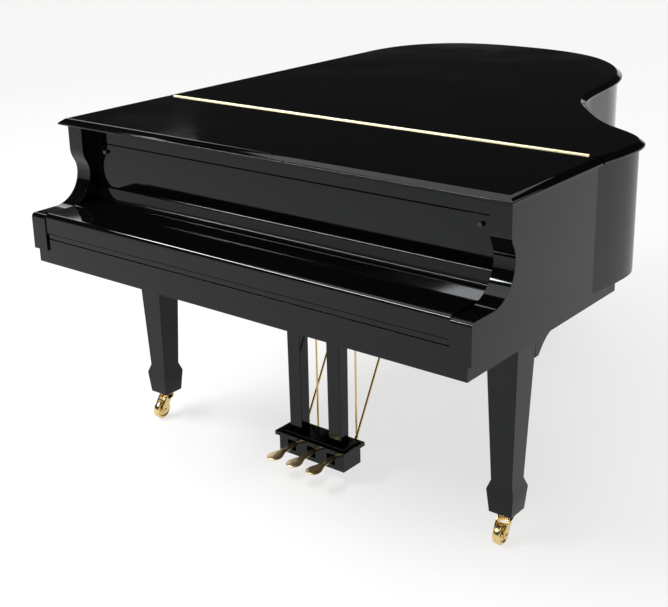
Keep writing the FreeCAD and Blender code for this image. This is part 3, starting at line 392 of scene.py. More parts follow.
# Plate: an iron casting, sprayed with bronze gold and lacquered, which bears the pull of the
# strings. It lies over the pin block and along the rim, held down by bolts with domed heads.
plate_gold = (0.60, 0.42, 0.13)
plate_bronze = (0.48, 0.32, 0.09)
bolt_inset = 0.088
bolt_spacing = 0.185
bolt_sides = 14
bolt_profile = (
    (-0.002, 0.0), (-0.002, 0.0135), (0.0008, 0.0135), (0.0018, 0.0125), (0.0018, 0.0095),
    (0.0062, 0.0090), (0.0082, 0.0068), (0.0090, 0.0032), (0.0092, 0.0),
)
upwards = Vector((0, 0, 1))
touching = 1e-4
flat_slack = 1e-5
straight_corner = 0.08
facing_share = 0.99


def gold_iron():
    """Gold paint on a sand casting: fine pebbling under a soft metallic sheen."""
    finish = new_finish("gold_iron", {"Metallic": 0.75})
    place = place_on(finish)
    pebble = cloud(finish, place, 420.0, 3.0)
    feed(finish, "Base Color", tones(finish, cloud(finish, place, 6.0), plate_gold, plate_bronze))
    feed(finish, "Roughness", spread(finish, pebble, 0.30, 0.48))
    relief(finish, pebble, 0.25, 0.0006)
    return finish


plate_finish = gold_iron()
finish_node("plate", plate_finish)


def underside_outline(node):
    """The border of a board's flat underside, in order and anticlockwise from above."""
    shape = welded(node)
    level = min(vert.co.z for vert in shape.verts)
    under = {face for face in shape.faces if max(vert.co.z for vert in face.verts) < level + flat_slack}
    after = {}
    for face in under:
        for loop in face.loops:
            if sum(other in under for other in loop.edge.link_faces) == 1:
                after[loop.link_loop_next.vert] = loop.vert
    first = min(after, key=lambda vert: (vert.co.x, vert.co.y))
    outline = [first.co.copy()]
    step = after[first]
    while step is not first:
        outline.append(step.co.copy())
        step = after[step]
    shape.free()
    return outline


def drawn_in(outline, inset, square_line):
    """The outline moved inwards by the inset, except its edge along the hinge."""
    moved = []
    count = len(outline)
    for number, point in enumerate(outline):
        sides = []
        for start, end in ((outline[number - 1], point), (point, outline[(number + 1) % count])):
            run = (end - start).normalized()
            outward = Vector((run.y, -run.x, 0))
            held = abs(start.y - square_line) < touching and abs(end.y - square_line) < touching
            sides.append((outward, 0.0 if held else inset))
        (one, one_inset), (two, two_inset) = sides
        corner = one.x * two.y - one.y * two.x
        if abs(corner) > straight_corner:
            shift = Vector((
                (-one_inset * two.y + two_inset * one.y) / corner,
                (-two_inset * one.x + one_inset * two.x) / corner,
                0,
            ))
        else:
            shift = (one + two).normalized() * (-(one_inset + two_inset) / 2)
        moved.append(point + shift)
    return moved


def rows_tree():
    """Sets one small form on every point of a piece, and gives all of them one finish."""
    tree = bpy.data.node_groups.new("set_in_rows", "GeometryNodeTree")
    tree.interface.new_socket("Places", in_out="INPUT", socket_type="NodeSocketGeometry")
    tree.interface.new_socket("Form", in_out="INPUT", socket_type="NodeSocketObject")
    tree.interface.new_socket("Finish", in_out="INPUT", socket_type="NodeSocketMaterial")
    tree.interface.new_socket("Fittings", in_out="OUTPUT", socket_type="NodeSocketGeometry")
    given = tree.nodes.new("NodeGroupInput")
    form = tree.nodes.new("GeometryNodeObjectInfo")
    instances = tree.nodes.new("GeometryNodeInstanceOnPoints")
    real = tree.nodes.new("GeometryNodeRealizeInstances")
    finish = tree.nodes.new("GeometryNodeSetMaterial")
    made = tree.nodes.new("NodeGroupOutput")
    tree.links.new(given.outputs["Places"], instances.inputs["Points"])
    tree.links.new(given.outputs["Form"], form.inputs["Object"])
    tree.links.new(form.outputs["Geometry"], instances.inputs["Instance"])
    tree.links.new(instances.outputs["Instances"], real.inputs["Geometry"])
    tree.links.new(real.outputs["Geometry"], finish.inputs["Geometry"])
    tree.links.new(given.outputs["Finish"], finish.inputs["Material"])
    tree.links.new(finish.outputs["Geometry"], made.inputs["Fittings"])
    return tree


set_in_rows = rows_tree()


def in_rows(name, places, shape, material):
    """One piece made of the same small form at each of the places."""
    form = finished(shape, name + "_form", material, 0)
    mesh = bpy.data.meshes.new(name)
    mesh.from_pydata([tuple(place) for place in places], [], [])
    piece = bpy.data.objects.new(name, mesh)
    scene.collection.objects.link(piece)
    rows = piece.modifiers.new("rows", "NODES")
    rows.node_group = set_in_rows
    sockets = {socket.name: socket.identifier for socket in set_in_rows.interface.items_tree}
    rows[sockets["Form"]] = form
    rows[sockets["Finish"]] = material
    plain_mesh(piece)
    bpy.data.objects.remove(form)
    return piece


def along_outline(outline, spacing):
    """Points at even steps along a closed outline."""
    points = []
    left = spacing / 2
    for start, end in zip(outline, outline[1:] + outline[:1]):
        run = (end - start).length
        while left < run:
            points.append(start.lerp(end, left / run))
            left += spacing
        left -= run
    return points


def resting_on(node, points, drop):
    """Where points dropped along one direction land flat on a solid; the others are left out."""
    shape = bmesh.new()
    shape.from_mesh(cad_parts[node].data)
    solid = BVHTree.FromBMesh(shape)
    shape.free()
    landed = []
    for point in points:
        place, normal, _, _ = solid.ray_cast(point - drop, drop)
        if place is not None and normal.dot(drop) < -facing_share:
            landed.append(place)
    return landed


def on_top(node, points):
    """Where points dropped straight down land on a solid's highest face."""
    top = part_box(node)[1].z
    return [place for place in resting_on(node, points, -upwards) if place.z > top - touching]


def turn_on(shape, start, along, profile, sides):
    """Adds to a shape a turned form, whose profile is pairs of distance along the axis and radius."""
    across = along.orthogonal().normalized()
    other = along.cross(across)
    rings = []
    for distance, radius in profile:
        ring = []
        for step in range(sides if radius else 1):
            angle = 2 * math.pi * step / sides
            out = across * math.cos(angle) + other * math.sin(angle)
            ring.append(shape.verts.new(start + along * distance + out * radius))
        rings.append(ring)
    for low, high in zip(rings, rings[1:]):
        for step in range(sides):
            after = (step + 1) % sides
            corners = [low[step % len(low)], low[after % len(low)]]
            corners += [high[after % len(high)], high[step % len(high)]]
            shape.faces.new(list(dict.fromkeys(corners)))


lid_outline = underside_outline("lid_main")
lid_hinge_line = min(point.y for point in lid_outline)
bolt_line = drawn_in(lid_outline, bolt_inset, lid_hinge_line)
bolt = bmesh.new()
turn_on(bolt, Vector(), upwards, bolt_profile, bolt_sides)
bolt_places = on_top("plate", along_outline(bolt_line, bolt_spacing))
placed(in_rows("plate_bolts", bolt_places, bolt, plate_finish), "case", "gold_iron")

# Strings and tuning pins: drawn steel wire, the bass strings wound with copper. Each is hooked on
# a hitch pin in the plate and coiled round a nickel-plated tuning pin with a square head.
wire_steel = (0.60, 0.60, 0.62)
wound_copper = (0.62, 0.33, 0.16)
bass_string_level = 0.89
nickel_bright = (0.66, 0.65, 0.62)
nickel_dull = (0.50, 0.49, 0.47)
scratch_stretch = (1.0, 0.05, 1.0)
scratch_fineness = 40
pin_height = 0.056
pin_sides = 10
pin_head_sides = 4
pin_shank = (
    (0.0, 0.0), (0.0, 0.0034), (0.031, 0.0034), (0.0318, 0.0043), (0.0333, 0.0043), (0.0341, 0.0036),
    (0.0349, 0.0043), (0.0364, 0.0043), (0.0372, 0.0034), (0.0445, 0.0034), (0.0455, 0.0),
)
pin_head = ((0.043, 0.0), (0.043, 0.0040), (0.0555, 0.0035), (0.056, 0.0031), (0.056, 0.0))
hitch_profile = ((-0.042, 0.0), (-0.042, 0.0021), (0.0022, 0.0021), (0.0032, 0.0013), (0.0034, 0.0))
hitch_sides = 8


def above(finish, place, level):
    """1 on the surface above a level over the floor, and 0 below it."""
    parts = finish.node_tree.nodes.new("ShaderNodeSeparateXYZ")
    high = finish.node_tree.nodes.new("ShaderNodeMath")
    high.operation = "GREATER_THAN"
    high.inputs[1].default_value = level
    finish.node_tree.links.new(place, parts.inputs["Vector"])
    finish.node_tree.links.new(parts.outputs["Z"], high.inputs[0])
    return high.outputs[0]


def string_wire():
    """Bright drawn wire, copper-wound on the bass side, with the winding as fine rings."""
    finish = new_finish("string_wire", {"Metallic": 1.0, "Roughness": 0.28})
    place = place_on(finish)
    winding = finish.node_tree.nodes.new("ShaderNodeTexWave")
    winding.bands_direction = "Y"
    winding.inputs["Scale"].default_value = 260.0
    finish.node_tree.links.new(place, winding.inputs["Vector"])
    bass = above(finish, place, bass_string_level)
    feed(finish, "Base Color", tones(finish, bass, wire_steel, wound_copper))
    relief(finish, winding.outputs["Fac"], 0.3, 0.0004)
    return finish


def rubbed_metal(name, bright, dull, smooth, rough, scale):
    """Polished metal with handling: cloudy dulling in the colour and the gloss, and fine scratches."""
    finish = new_finish(name, {"Metallic": 1.0})
    handling = cloud(finish, place_on(finish), scale, 6.0)
    scratches = cloud(finish, stretched(finish, scratch_stretch), scale * scratch_fineness)
    feed(finish, "Base Color", tones(finish, handling, bright, dull))
    feed(finish, "Roughness", spread(finish, handling, smooth, rough, 0.3, 0.7))
    relief(finish, scratches, 0.04, 0.0005)
    return finish


def separate_solids(node):
    """The lowest corner, highest corner and tail end of each solid in a node, from the bass up."""
    shape = welded(node)
    waiting = dict.fromkeys(shape.verts)
    solids = []
    while waiting:
        found = [next(iter(waiting))]
        waiting.pop(found[0])
        for vert in found:
            for edge in vert.link_edges:
                other = edge.other_vert(vert)
                if other in waiting:
                    waiting.pop(other)
                    found.append(other)
        low = Vector(min(vert.co[axis] for vert in found) for axis in range(3))
        high = Vector(max(vert.co[axis] for vert in found) for axis in range(3))
        tail = max(found, key=lambda vert: vert.co.y).co
        solids.append((low, high, tail.copy()))
    shape.free()
    return sorted(solids, key=lambda solid: solid[0].x)


finish_node("strings", string_wire())
nickel = rubbed_metal("nickel_pins", nickel_bright, nickel_dull, 0.18, 0.34, 60.0)
pin_places = []
for low, high, _ in separate_solids("tuning_pins"):
    pin_places.append(Vector(((low.x + high.x) / 2, (low.y + high.y) / 2, high.z - pin_height)))
pin = bmesh.new()
turn_on(pin, Vector(), upwards, pin_shank, pin_sides)
turn_on(pin, Vector(), upwards, pin_head, pin_head_sides)
placed(in_rows("wound_tuning_pins", pin_places, pin, nickel), "case", "steel_wire", "tuning_pins")
hitch_places = [tail for _, _, tail in separate_solids("strings")]
hitch = bmesh.new()
turn_on(hitch, Vector(), upwards, hitch_profile, hitch_sides)
placed(in_rows("hitch_pins", hitch_places, hitch, nickel), "case", "steel_wire")

# Keybed: a thick slab of glued boards that carries the keyboard, joined to both arms. Its front
# is raised between the arms, and it is lacquered like the case.
keybed_edge = 0.0016
eased("keybed", "case", "black_lacquer", lacquer, keybed_edge)

# Key frame and action: beech rails that lie loose on the keybed, so that the left pedal can shift
# them, and over the keys the hammers on their shanks, with heads of pressed white felt.
rail_wood_dark = (0.45, 0.29, 0.15)
felt_white = (0.80, 0.77, 0.70)
hammer_head_level = 0.804


def hammer_action():
    """Beech wood low down and white pressed felt at the hammers' heads."""
    finish = planed_wood("hammer_action", beam_wood, rail_wood_dark, 80.0, 0.55)
    wood = finish.node_tree.nodes["Principled BSDF"].inputs["Base Color"].links[0].from_socket
    heads = above(finish, place_on(finish), hammer_head_level)
    feed(finish, "Base Color", tones(finish, heads, wood, felt_white))
    return finish


finish_node("key_frame", beech)
finish_node("action", hammer_action())

# Keys: spruce sticks capped with ivory-coloured and black plastic, which rock on the key frame's
# middle rail. There are eighty-eight of them, in twelve sets by note name.
ivory = (0.86, 0.84, 0.77)
ebony = (0.012, 0.012, 0.013)
key_spruce = (0.66, 0.47, 0.27)
worn_share = 0.93
white_cap_level = 0.700
black_cap_level = 0.7185
white_key_edge = 0.0008
black_key_edge = 0.0012
note_names = ("c", "c_sharp", "d", "d_sharp", "e", "f", "f_sharp", "g", "g_sharp", "a", "a_sharp", "b")


def key_finish(name, top, cap_level, roughness, grain):
    """A moulded cap on a wooden stick: the cap's tone above, pale spruce below its edge."""
    finish = new_finish(name, {"Roughness": roughness})
    place = place_on(finish)
    worn = tuple(worn_share * part for part in top)
    cap = tones(finish, cloud(finish, place, grain, 4.0), top, worn)
    feed(finish, "Base Color", tones(finish, above(finish, place, cap_level), key_spruce, cap))
    return finish


white_finish = key_finish("ivory_key", ivory, white_cap_level, 0.22, 14.0)
black_finish = key_finish("ebony_key", ebony, black_cap_level, 0.3, 90.0)
for note in note_names:
    node = "keys_" + note
    if "sharp" in note:
        eased(node, node, "black_key", black_finish, black_key_edge, 2)
    else:
        eased(node, node, "white_key", white_finish, white_key_edge, 2)

# Dampers: wedges of white felt under ebonised wooden heads that lie on the strings, each on a
# wire that the pedal lifts.
felt_shade = (0.66, 0.63, 0.56)
damper_head_width = 0.0052
damper_head_end_share = 0.9
damper_head_top = ((0.003, 1.0), (0.0006, 0.8), (0.0, 0.45))
damper_head_level = 0.5
damper_felt_height = 0.007
damper_felt_rows = ((0.0, 0.25), (0.003, 1.0), (damper_felt_height, 1.0))
damper_felt_end_shares = ((-0.5, -0.06), (0.06, 0.5))


def pressed_felt(name, color, shade):
    """Pressed wool: soft, without gloss, with a fine nap and cloudy shading."""
    finish = new_finish(name, {"Roughness": 0.95, "Sheen Weight": 0.35})
    nap = cloud(finish, place_on(finish), 900.0, 4.0)
    feed(finish, "Base Color", tones(finish, nap, color, shade))
    relief(finish, nap, 0.4, 0.0005)
    return finish


def rectangle(low, high, height):
    """The corners of a level rectangle between two opposite ones, anticlockwise from above."""
    corners = ((low.x, low.y), (high.x, low.y), (high.x, high.y), (low.x, high.y))
    return [Vector((x, y, height)) for x, y in corners]


def loft_on(shape, sections):
    """Adds to a shape a closed form through a row of sections with equal numbers of points."""
    rings = [[shape.verts.new(point) for point in section] for section in sections]
    count = len(rings[0])
    for low, high in zip(rings, rings[1:]):
        for number in range(count):
            after = (number + 1) % count
            shape.faces.new((low[number], low[after], high[after], high[number]))
    shape.faces.new(list(reversed(rings[0])))
    shape.faces.new(rings[-1])


damper_boxes = separate_solids("dampers")
damper_size = damper_boxes[0][1] - damper_boxes[0][0]
damper_places = []
for low, high, _ in damper_boxes:
    damper_places.append(Vector(((low.x + high.x) / 2, (low.y + high.y) / 2, low.z)))
head_rows = [(damper_felt_height, 1.0)]
head_rows += [(damper_size.z - drop, share) for drop, share in damper_head_top]
sections = []
for height, share in head_rows:
    end_share = damper_head_end_share + (1 - damper_head_end_share) * share
    half = Vector((damper_head_width * share, damper_size.y * end_share)) / 2
    sections.append(rectangle(-half, half, height))
head = bmesh.new()
loft_on(head, sections)
head_finish = key_finish("ebonised_head", ebony, damper_head_level, 0.35, 60.0)
damper_heads = in_rows("damper_heads", damper_places, head, head_finish)
placed(damper_heads, "dampers", "black_lacquer", "dampers")
felt = bmesh.new()
for front, back in damper_felt_end_shares:
    sections = []
    for height, share in damper_felt_rows:
        half_width = damper_size.x / 2 * share
        low = Vector((-half_width, damper_size.y * front))
        high = Vector((half_width, damper_size.y * back))
        sections.append(rectangle(low, high, height))
    loft_on(felt, sections)
white_felt = pressed_felt("white_damper_felt", felt_white, felt_shade)
placed(in_rows("damper_felts", damper_places, felt, white_felt), "dampers", "felt")

# Key slip, cheek blocks, name board and stretcher: lacquered boards round the keyboard. The name
# board leans back over a rounded bead, with a red felt strip along its foot above the keys, and
# two rubber bumpers catch the raised fallboard.
slip_edge = 0.0022
stretcher_edge = 0.0012
name_board_proud = 0.009
name_board_lean = 0.0085
name_board_round = 0.007
bead_radius = 0.0045
bead_set_back_share = 0.8
bead_height = 0.0151
bead_sides = 16
crosswise = Vector((1, 0, 0))
key_felt_red = (0.36, 0.012, 0.018)
key_felt_shade = (0.26, 0.008, 0.012)
key_felt_drop = 0.005
key_felt_edge = 0.0012
bumper_rubber = (0.020, 0.019, 0.018)
rubber_bloom = (0.09, 0.088, 0.085)
bumper_edge = 0.0012


def moulded_rubber():
    """Soft moulded rubber, matte with a fine bloom."""
    finish = new_finish("moulded_rubber", {"Roughness": 0.65})
    bloom = cloud(finish, place_on(finish), 300.0)
    feed(finish, "Base Color", tones(finish, bloom, bumper_rubber, rubber_bloom))
    return finish


for node, edge in (("key_slip", slip_edge), ("cheek_blocks", slip_edge), ("stretcher", stretcher_edge)):
    eased(node, "case", "black_lacquer", lacquer, edge)

board_low, board_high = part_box("name_board")
board_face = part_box("stretcher")[0].y - name_board_proud
board_end = (
    (board_face, board_low.z), (board_face + name_board_lean, board_high.z),
    (board_high.y, board_high.z), (board_high.y, board_low.z),
)
sections = []
for across in (board_low.x, board_high.x):
    sections.append([Vector((across, y, z)) for y, z in board_end])
board = bmesh.new()
loft_on(board, sections)
name_board = finished(board, "leaning_name_board", lacquer, name_board_round, 5)
placed(name_board, "case", "black_lacquer", "name_board")

bead_line = board_face + bead_radius * bead_set_back_share
bead_start = Vector((board_low.x, bead_line, board_low.z + bead_height))
bead_length = board_high.x - board_low.x
bead_profile = ((0, 0), (0, bead_radius), (bead_length, bead_radius), (bead_length, 0))
bead = bmesh.new()
turn_on(bead, bead_start, crosswise, bead_profile, bead_sides)
placed(finished(bead, "name_board_bead", lacquer, 0), "case", "black_lacquer")

red_felt = pressed_felt("red_key_felt", key_felt_red, key_felt_shade)
strip_heights = (board_low.z - key_felt_drop, board_low.z)
strip = bmesh.new()
loft_on(strip, [rectangle(board_low, board_high, height) for height in strip_heights])
placed(finished(strip, "key_felt", red_felt, key_felt_edge, 2), "case", "felt")

bumper_finish = moulded_rubber()
eased("bumpers", "case", "rubber", bumper_finish, bumper_edge)

# Fallboard: a lacquered board over the keys with a rounded front lip. It turns on a pin at each
# end and leans back on the bumpers.
fallboard_edge = 0.0014
fallboard_back_trim = 0.005

fallboard_shape = solid_shape("fallboard")
fallboard_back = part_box("fallboard")[1].y
for vert in fallboard_shape.verts:
    if vert.co.y > fallboard_back - fallboard_edge:
        vert.co.y -= fallboard_back_trim
fallboard = finished(fallboard_shape, "lacquered_fallboard", lacquer, fallboard_edge)
placed(fallboard, "fallboard", "black_lacquer", "fallboard")

# Music desk: two beech rails, a tray that slides back on them behind a low front board, and a
# panel that lies on the tray until the lid's flap is folded back.
desk_edge = 0.0014

finish_node("desk_rails", beech)
eased("desk_tray", "desk_tray", "black_lacquer", lacquer, desk_edge)
eased("desk_panel", "desk_panel", "black_lacquer", lacquer, desk_edge)

# Lid: a main board and a front flap of lacquered wood. A rounded nose runs round their outer
# edges, with a broad slope above it up to the flat top; the edges that meet at the hinge are
# square. Small rubber buttons on the rim keep the closed lid off its lacquer.
lid_profile = (
    (0.0014, 0.0), (0.0004, 0.0008), (0.0, 0.0021), (0.0, 0.0046), (0.0004, 0.0060), (0.0014, 0.0071),
    (0.0030, 0.0076), (0.0036, 0.0082), (0.0048, 0.0093), (0.0155, 0.0169), (0.0172, 0.0177),
    (0.0192, 0.0180),
)
lid_crease = 40.0
button_inset = 0.040
button_spacing = 0.42
button_profile = ((0.0, 0.0), (0.0, 0.0080), (0.0009, 0.0084), (0.0017, 0.0072), (0.0019, 0.0))
button_sides = 18


def lid_board(node, body, hinge_side):
    """One board of the lid, with its edge profile swept round the outline of its solid."""
    outline = underside_outline(node)
    square_line = hinge_side(point.y for point in outline)
    sections = []
    for inset, height in lid_profile:
        sections.append([point + upwards * height for point in drawn_in(outline, inset, square_line)])
    shape = bmesh.new()
    loft_on(shape, sections)
    piece = finished(shape, "board_" + node, lacquer, 0, crease=lid_crease)
    placed(piece, body, "black_lacquer", node)


lid_board("lid_main", "lid", min)
lid_board("lid_flap", "flap", max)
button_line = drawn_in(lid_outline, button_inset, lid_hinge_line)
button_places = on_top("rim", along_outline(button_line, button_spacing))
button = bmesh.new()
turn_on(button, Vector(), upwards, button_profile, button_sides)
placed(in_rows("lid_buttons", button_places, button, bumper_finish), "case", "rubber")

# Lid hinges: a long brass piano hinge lets the flap fold back, and three brass butt hinges, each
# with three screws in the case, join the lid to the spine.
satin_bright = (0.90, 0.80, 0.52)
satin_dull = (0.80, 0.68, 0.40)
brass_bright = (0.86, 0.68, 0.33)
brass_dull = (0.72, 0.53, 0.23)
hinge_edge = 0.0004
screw_shares = (0.16, 0.5, 0.84)
screw_drop = 0.012
screw_profile = ((-0.001, 0.0), (-0.001, 0.0038), (0.0002, 0.0038), (0.0007, 0.0028), (0.0008, 0.0))
screw_sides = 14

hinge_brass = rubbed_metal("satin_brass", satin_bright, satin_dull, 0.30, 0.42, 18.0)
brass = rubbed_metal("polished_brass", brass_bright, brass_dull, 0.12, 0.28, 18.0)
for side, body in (("main", "lid"), ("flap", "flap")):
    eased("flap_hinge_" + side, body, "brass", hinge_brass, hinge_edge, 2)
for side, body in (("rim", "case"), ("lid", "lid")):
    eased("lid_hinge_" + side, body, "brass", brass, hinge_edge, 2)
screw_points = []
for low, high, _ in separate_solids("lid_hinge_rim"):
    for share in screw_shares:
        screw_points.append(Vector((low.x, low.y + (high.y - low.y) * share, low.z + screw_drop)))
screw = bmesh.new()
turn_on(screw, Vector(), -crosswise, screw_profile, screw_sides)
screw_places = resting_on("lid_hinge_rim", screw_points, crosswise)
placed(in_rows("hinge_screws", screw_places, screw, hinge_brass), "case", "brass")

# Lid prop: a slim lacquered stick that holds the raised lid. While the lid is closed it lies
# along the treble wall, inside the rim.
prop_edge = 0.0014
eased("lid_prop", "case", "black_lacquer", lacquer, prop_edge)

# Legs: tapered square legs of beech with a spade foot, lacquered. Each hangs from a plate under
# the keybed or the beams, and a bowed bracket stands behind each front leg.
leg_edge = 0.0022
leg_plate_thickness = 0.022
leg_plate_width = 0.130
leg_top_width = 0.092
leg_sections = ((0.062, 0.178), (0.079, 0.153), (0.067, 0.086))
bracket_half_width = 0.044
bracket_front = 0.0435
bracket_ledge = 0.062
bracket_reach = 0.105
bracket_drop = 0.097
bracket_end_drop = 0.043
bracket_bow = 0.016
bracket_steps = 14


def square(center, width, height):
    """The corners of a level square."""
    half = Vector((width, width)) / 2
    return rectangle(center.xy - half, center.xy + half, height)


def leg(name):
    """One leg under its plate, where the solid leg stands. Gives its middle and its top."""
    node = "leg_" + name
    low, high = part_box(node)
    center = (low + high) / 2
    under = high.z - leg_plate_thickness
    rows = ((leg_top_width, under),) + leg_sections
    shape = bmesh.new()
    loft_on(shape, [square(center, leg_plate_width, height) for height in (under, high.z)])
    loft_on(shape, [square(center, width, height) for width, height in rows])
    placed(finished(shape, "square_" + node, lacquer, leg_edge), "case", "black_lacquer", node)
    return center, high.z


def bracket_outline(across, center, top):
    """Side view of a bracket: a short ledge behind the leg, then a bowed sweep up to its end."""
    front = center.y + bracket_front
    low = Vector((across, center.y + bracket_ledge, top - bracket_drop))
    far = Vector((across, low.y + bracket_reach, top - bracket_end_drop))
    chord = far - low
    lift = Vector((0, -chord.z, chord.y)).normalized() * bracket_bow
    outline = [Vector((across, front, top)), Vector((across, front, low.z))]
    for step in range(bracket_steps + 1):
        share = step / bracket_steps
        outline.append(low + chord * share + lift * math.sin(math.pi * share))
    outline.append(Vector((across, far.y, top)))
    return outline


leg("rear")
brackets = bmesh.new()
for name in ("left", "right"):
    center, top = leg(name)
    sides = (center.x - bracket_half_width, center.x + bracket_half_width)
    loft_on(brackets, [bracket_outline(across, center, top) for across in sides])
placed(finished(brackets, "bowed_brackets", lacquer, leg_edge), "case", "black_lacquer", "leg_brackets")

# Casters: cast and polished brass. A round plate on a stem turns in the leg's foot and carries two
# swept arms, with the wheel on a riveted axle between them.
caster_plate_radius = 0.026
caster_plate_profile = (
    (0.0, 0.007), (0.0, 0.0245), (-0.0013, 0.026), (-0.0045, 0.026), (-0.0062, 0.0242),
    (-0.0072, 0.0205), (-0.0105, 0.0165), (-0.0150, 0.0150), (-0.0165, 0.0135), (-0.0165, 0.0),
)
caster_plate_sides = 36
caster_stem_height = 0.045
caster_stem_radius = 0.007
caster_crown_reach = 0.013
caster_crown_drop = 0.011
caster_bridge_gap = 0.004
caster_arm_gap = 0.0012
caster_arm_thickness = 0.0055
caster_arm_edge = 0.0009
caster_boss_radius = 0.0105
caster_boss_start = math.radians(194.4)
caster_boss_sweep = math.radians(165.6)
caster_boss_steps = 12
arm_steps = 8
arm_front_power = 1.35
arm_back_power = 2.0
rivet_profile = ((0.0, 0.0), (0.0, 0.0062), (0.0016, 0.0058), (0.0028, 0.0038), (0.0032, 0.0))
rivet_sides = 20
wheel_shares = (
    (1.0, 0.0), (1.0, 0.26), (0.93, 0.31), (0.70, 0.36), (0.66, 0.66), (0.90, 0.74), (0.96, 0.80),
    (0.94, 0.88), (0.74, 0.962), (0.42, 0.992), (0.0, 1.0),
)
wheel_sides = 40
wheel_crease = 40.0


def caster_wheel(name):
    """A brass wheel with a crowned tread, dished sides and a round hub."""
    node = "caster_wheel_" + name
    low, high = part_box(node)
    center = (low + high) / 2
    half = (high.x - low.x) / 2
    radius = (high.z - low.z) / 2
    near_side = [(-across * half, out * radius) for across, out in wheel_shares]
    far_side = [(-across, out) for across, out in reversed(near_side[:-1])]
    shape = bmesh.new()
    turn_on(shape, center, -crosswise, near_side + far_side, wheel_sides)
    placed(finished(shape, "crowned_" + node, brass, 0, crease=wheel_crease), node, "brass", node)
    return center, half, radius


def arm_side(start, end, power):
    """Points up one side of an arm, from the axle's boss to the crown."""
    points = []
    for step in range(1, arm_steps + 1):
        share = step / arm_steps
        out = start.y + (end.y - start.y) * share ** power
        points.append(Vector((start.x, out, start.z + (end.z - start.z) * share)))
    return points


def caster_arm(center, across, crown_line, crown_height):
    """Side view of one arm: narrow at the axle's boss, sweeping out to the crown under the plate."""
    boss = []
    for step in range(caster_boss_steps + 1):
        angle = caster_boss_start + caster_boss_sweep * step / caster_boss_steps
        out = center.y + math.cos(angle) * caster_boss_radius
        boss.append(Vector((across, out, center.z + math.sin(angle) * caster_boss_radius)))
    front_top = Vector((across, crown_line + caster_crown_reach, crown_height))
    back_top = Vector((across, crown_line - caster_crown_reach, crown_height))
    front = arm_side(boss[-1], front_top, arm_front_power)
    back = arm_side(boss[0], back_top, arm_back_power)
    return boss + front + back[::-1]


def caster(name):
    """One caster: its wheel, and the fork that turns with it."""
    center, half, radius = caster_wheel(name)
    node = "caster_fork_" + name
    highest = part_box(node)[1]
    crown = Vector((center.x, highest.y - caster_plate_radius, highest.z - caster_stem_height))
    crown_height = crown.z - caster_crown_drop
    stem = ((caster_stem_height, 0.0), (caster_stem_height, caster_stem_radius))
    shape = bmesh.new()
    turn_on(shape, crown, upwards, stem + caster_plate_profile, caster_plate_sides)
    for side in (-1, 1):
        inner = center.x + side * (half + caster_arm_gap)
        outer = inner + side * caster_arm_thickness
        loft_on(shape, [caster_arm(center, across, crown.y, crown_height) for across in (inner, outer)])
        axle_end = Vector((outer, center.y, center.z))
        turn_on(shape, axle_end, crosswise * side, rivet_profile, rivet_sides)
    reach = Vector((half + caster_arm_gap + caster_arm_thickness, caster_crown_reach))
    bridge_heights = (center.z + radius + caster_bridge_gap, crown_height)
    loft_on(shape, [rectangle(crown.xy - reach, crown.xy + reach, height) for height in bridge_heights])
    placed(finished(shape, "swept_" + node, brass, caster_arm_edge, 2), node, "brass", node)


for name in ("left", "right", "rear"):
    caster(name)

# Lyre: a head screwed under the keybed, two tapered posts and a box for the pedals, lacquered. A
# rounded moulding lies on the box, and two thin brass braces behind run up to the keybed.
lyre_edge = 0.0018
lyre_box_deepened = 0.008
moulding_height = 0.007
moulding_inset = Vector((0.011, 0.011))
moulding_round = 0.00315
brace_radius = 0.0035
brace_side_inset = 0.006
brace_foot_inset = 0.005
brace_foot_height = 0.101
brace_head_inset = 0.0068
brace_eye = ((0.0, 0.0), (0.0, 0.0052), (0.0095, 0.0056), (0.0125, brace_radius))
brace_sides = 16
flange_profile = ((0.0, 0.0), (0.0, 0.011), (0.0022, 0.0105), (0.0034, 0.0065), (0.0040, 0.0))
flange_sides = 20

eased("lyre_head", "case", "black_lacquer", lacquer, lyre_edge)
eased("lyre_posts", "case", "black_lacquer", lacquer, lyre_edge)

box_low, box_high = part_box("lyre_box")
box = solid_shape("lyre_box")
for vert in box.verts:
    if vert.co.z < box_low.z + touching:
        vert.co.z -= lyre_box_deepened
placed(finished(box, "pedal_box", lacquer, lyre_edge), "case", "black_lacquer", "lyre_box")

moulding_low = box_low.xy + moulding_inset
moulding_high = box_high.xy - moulding_inset
moulding_heights = (box_high.z, box_high.z + moulding_height)
moulding = bmesh.new()
loft_on(moulding, [rectangle(moulding_low, moulding_high, height) for height in moulding_heights])
placed(finished(moulding, "pedal_box_moulding", lacquer, moulding_round, 5), "case", "black_lacquer")

braces_low, braces_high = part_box("lyre_braces")
braces = bmesh.new()
for across in (braces_low.x + brace_side_inset, braces_high.x - brace_side_inset):
    brace_foot = Vector((across, braces_low.y + brace_foot_inset, brace_foot_height))
    brace_head = Vector((across, braces_high.y - brace_head_inset, braces_high.z))
    run = brace_head - brace_foot
    rod = brace_eye + ((run.length, brace_radius), (run.length, 0.0))
    turn_on(braces, brace_foot, run.normalized(), rod, brace_sides)
    turn_on(braces, brace_head, -upwards, flange_profile, flange_sides)
placed(finished(braces, "brass_braces", brass, 0), "case", "brass", "lyre_braces")

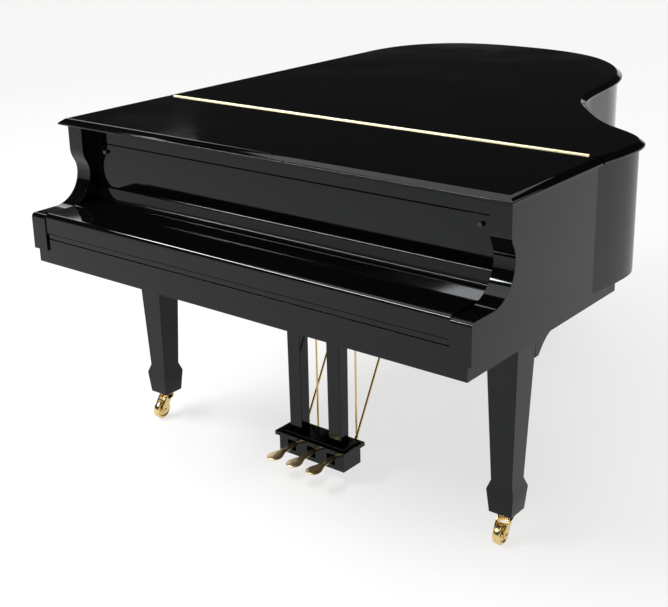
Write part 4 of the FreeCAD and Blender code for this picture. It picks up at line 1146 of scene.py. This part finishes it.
# Pedals and rods: cast brass pedals with a narrow neck and a broad crowned tip, rubbed by shoes,
# and thin brass rods that they push up into the keybed. A station of a pedal gives its distance
# from the tip, half width, half thickness and height.
pedal_bright = (0.95, 0.79, 0.48)
pedal_dull = (0.88, 0.70, 0.38)
pedal_stations = (
    (0.000, 0.0060, 0.0020, 0.0672), (0.002, 0.0120, 0.0030, 0.0673), (0.006, 0.0175, 0.0036, 0.0676),
    (0.013, 0.0215, 0.0039, 0.0680), (0.022, 0.0230, 0.0040, 0.0684), (0.032, 0.0215, 0.0041, 0.0688),
    (0.042, 0.0165, 0.0044, 0.0692), (0.052, 0.0118, 0.0048, 0.0695), (0.062, 0.0094, 0.0052, 0.0697),
    (0.076, 0.0090, 0.0055, 0.0698), (0.110, 0.0090, 0.0055, 0.0700), (0.226, 0.0090, 0.0055, 0.0700),
)
pedal_steps = 20
pedal_round_power = 0.8
pedal_crown = 0.0016
pedal_crease = 70.0
rod_radius = 0.003
rod_foot = ((0.0, 0.0), (0.0, 0.0021), (0.0012, rod_radius))
rod_sides = 16


def rounded(value):
    """A sine or cosine, drawn out so that a circle comes nearer to a square."""
    return math.copysign(abs(value) ** pedal_round_power, value)


def pedal(name):
    """One pedal from its tip to its tail in the box, rounded all over."""
    node = "pedal_" + name
    low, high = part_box(node)
    middle = (low.x + high.x) / 2
    widest = max(width for _, width, _, _ in pedal_stations)
    sections = []
    for reach, width, thick, height in pedal_stations:
        section = []
        for step in range(pedal_steps):
            angle = 2 * math.pi * step / pedal_steps
            across = rounded(math.cos(angle))
            crown = pedal_crown * (1 - across ** 2) * width / widest
            level = height + rounded(math.sin(angle)) * thick + crown
            section.append(Vector((middle + across * width, low.y + reach, level)))
        sections.append(section)
    shape = bmesh.new()
    loft_on(shape, sections)
    placed(finished(shape, "cast_" + node, pedal_brass, 0, crease=pedal_crease), node, "brass", node)


def pedal_rod(name):
    """One rod that stands on a pedal's tail, with a rounded foot."""
    node = "pedal_rod_" + name
    low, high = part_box(node)
    foot = Vector(((low.x + high.x) / 2, (low.y + high.y) / 2, low.z))
    tall = high.z - low.z
    shape = bmesh.new()
    turn_on(shape, foot, upwards, rod_foot + ((tall, rod_radius), (tall, 0.0)), rod_sides)
    placed(finished(shape, "brass_" + node, brass, 0), node, "brass", node)


pedal_brass = rubbed_metal("worn_pedal_brass", pedal_bright, pedal_dull, 0.30, 0.42, 14.0)
for name in ("left", "middle", "right"):
    pedal(name)
    pedal_rod(name)
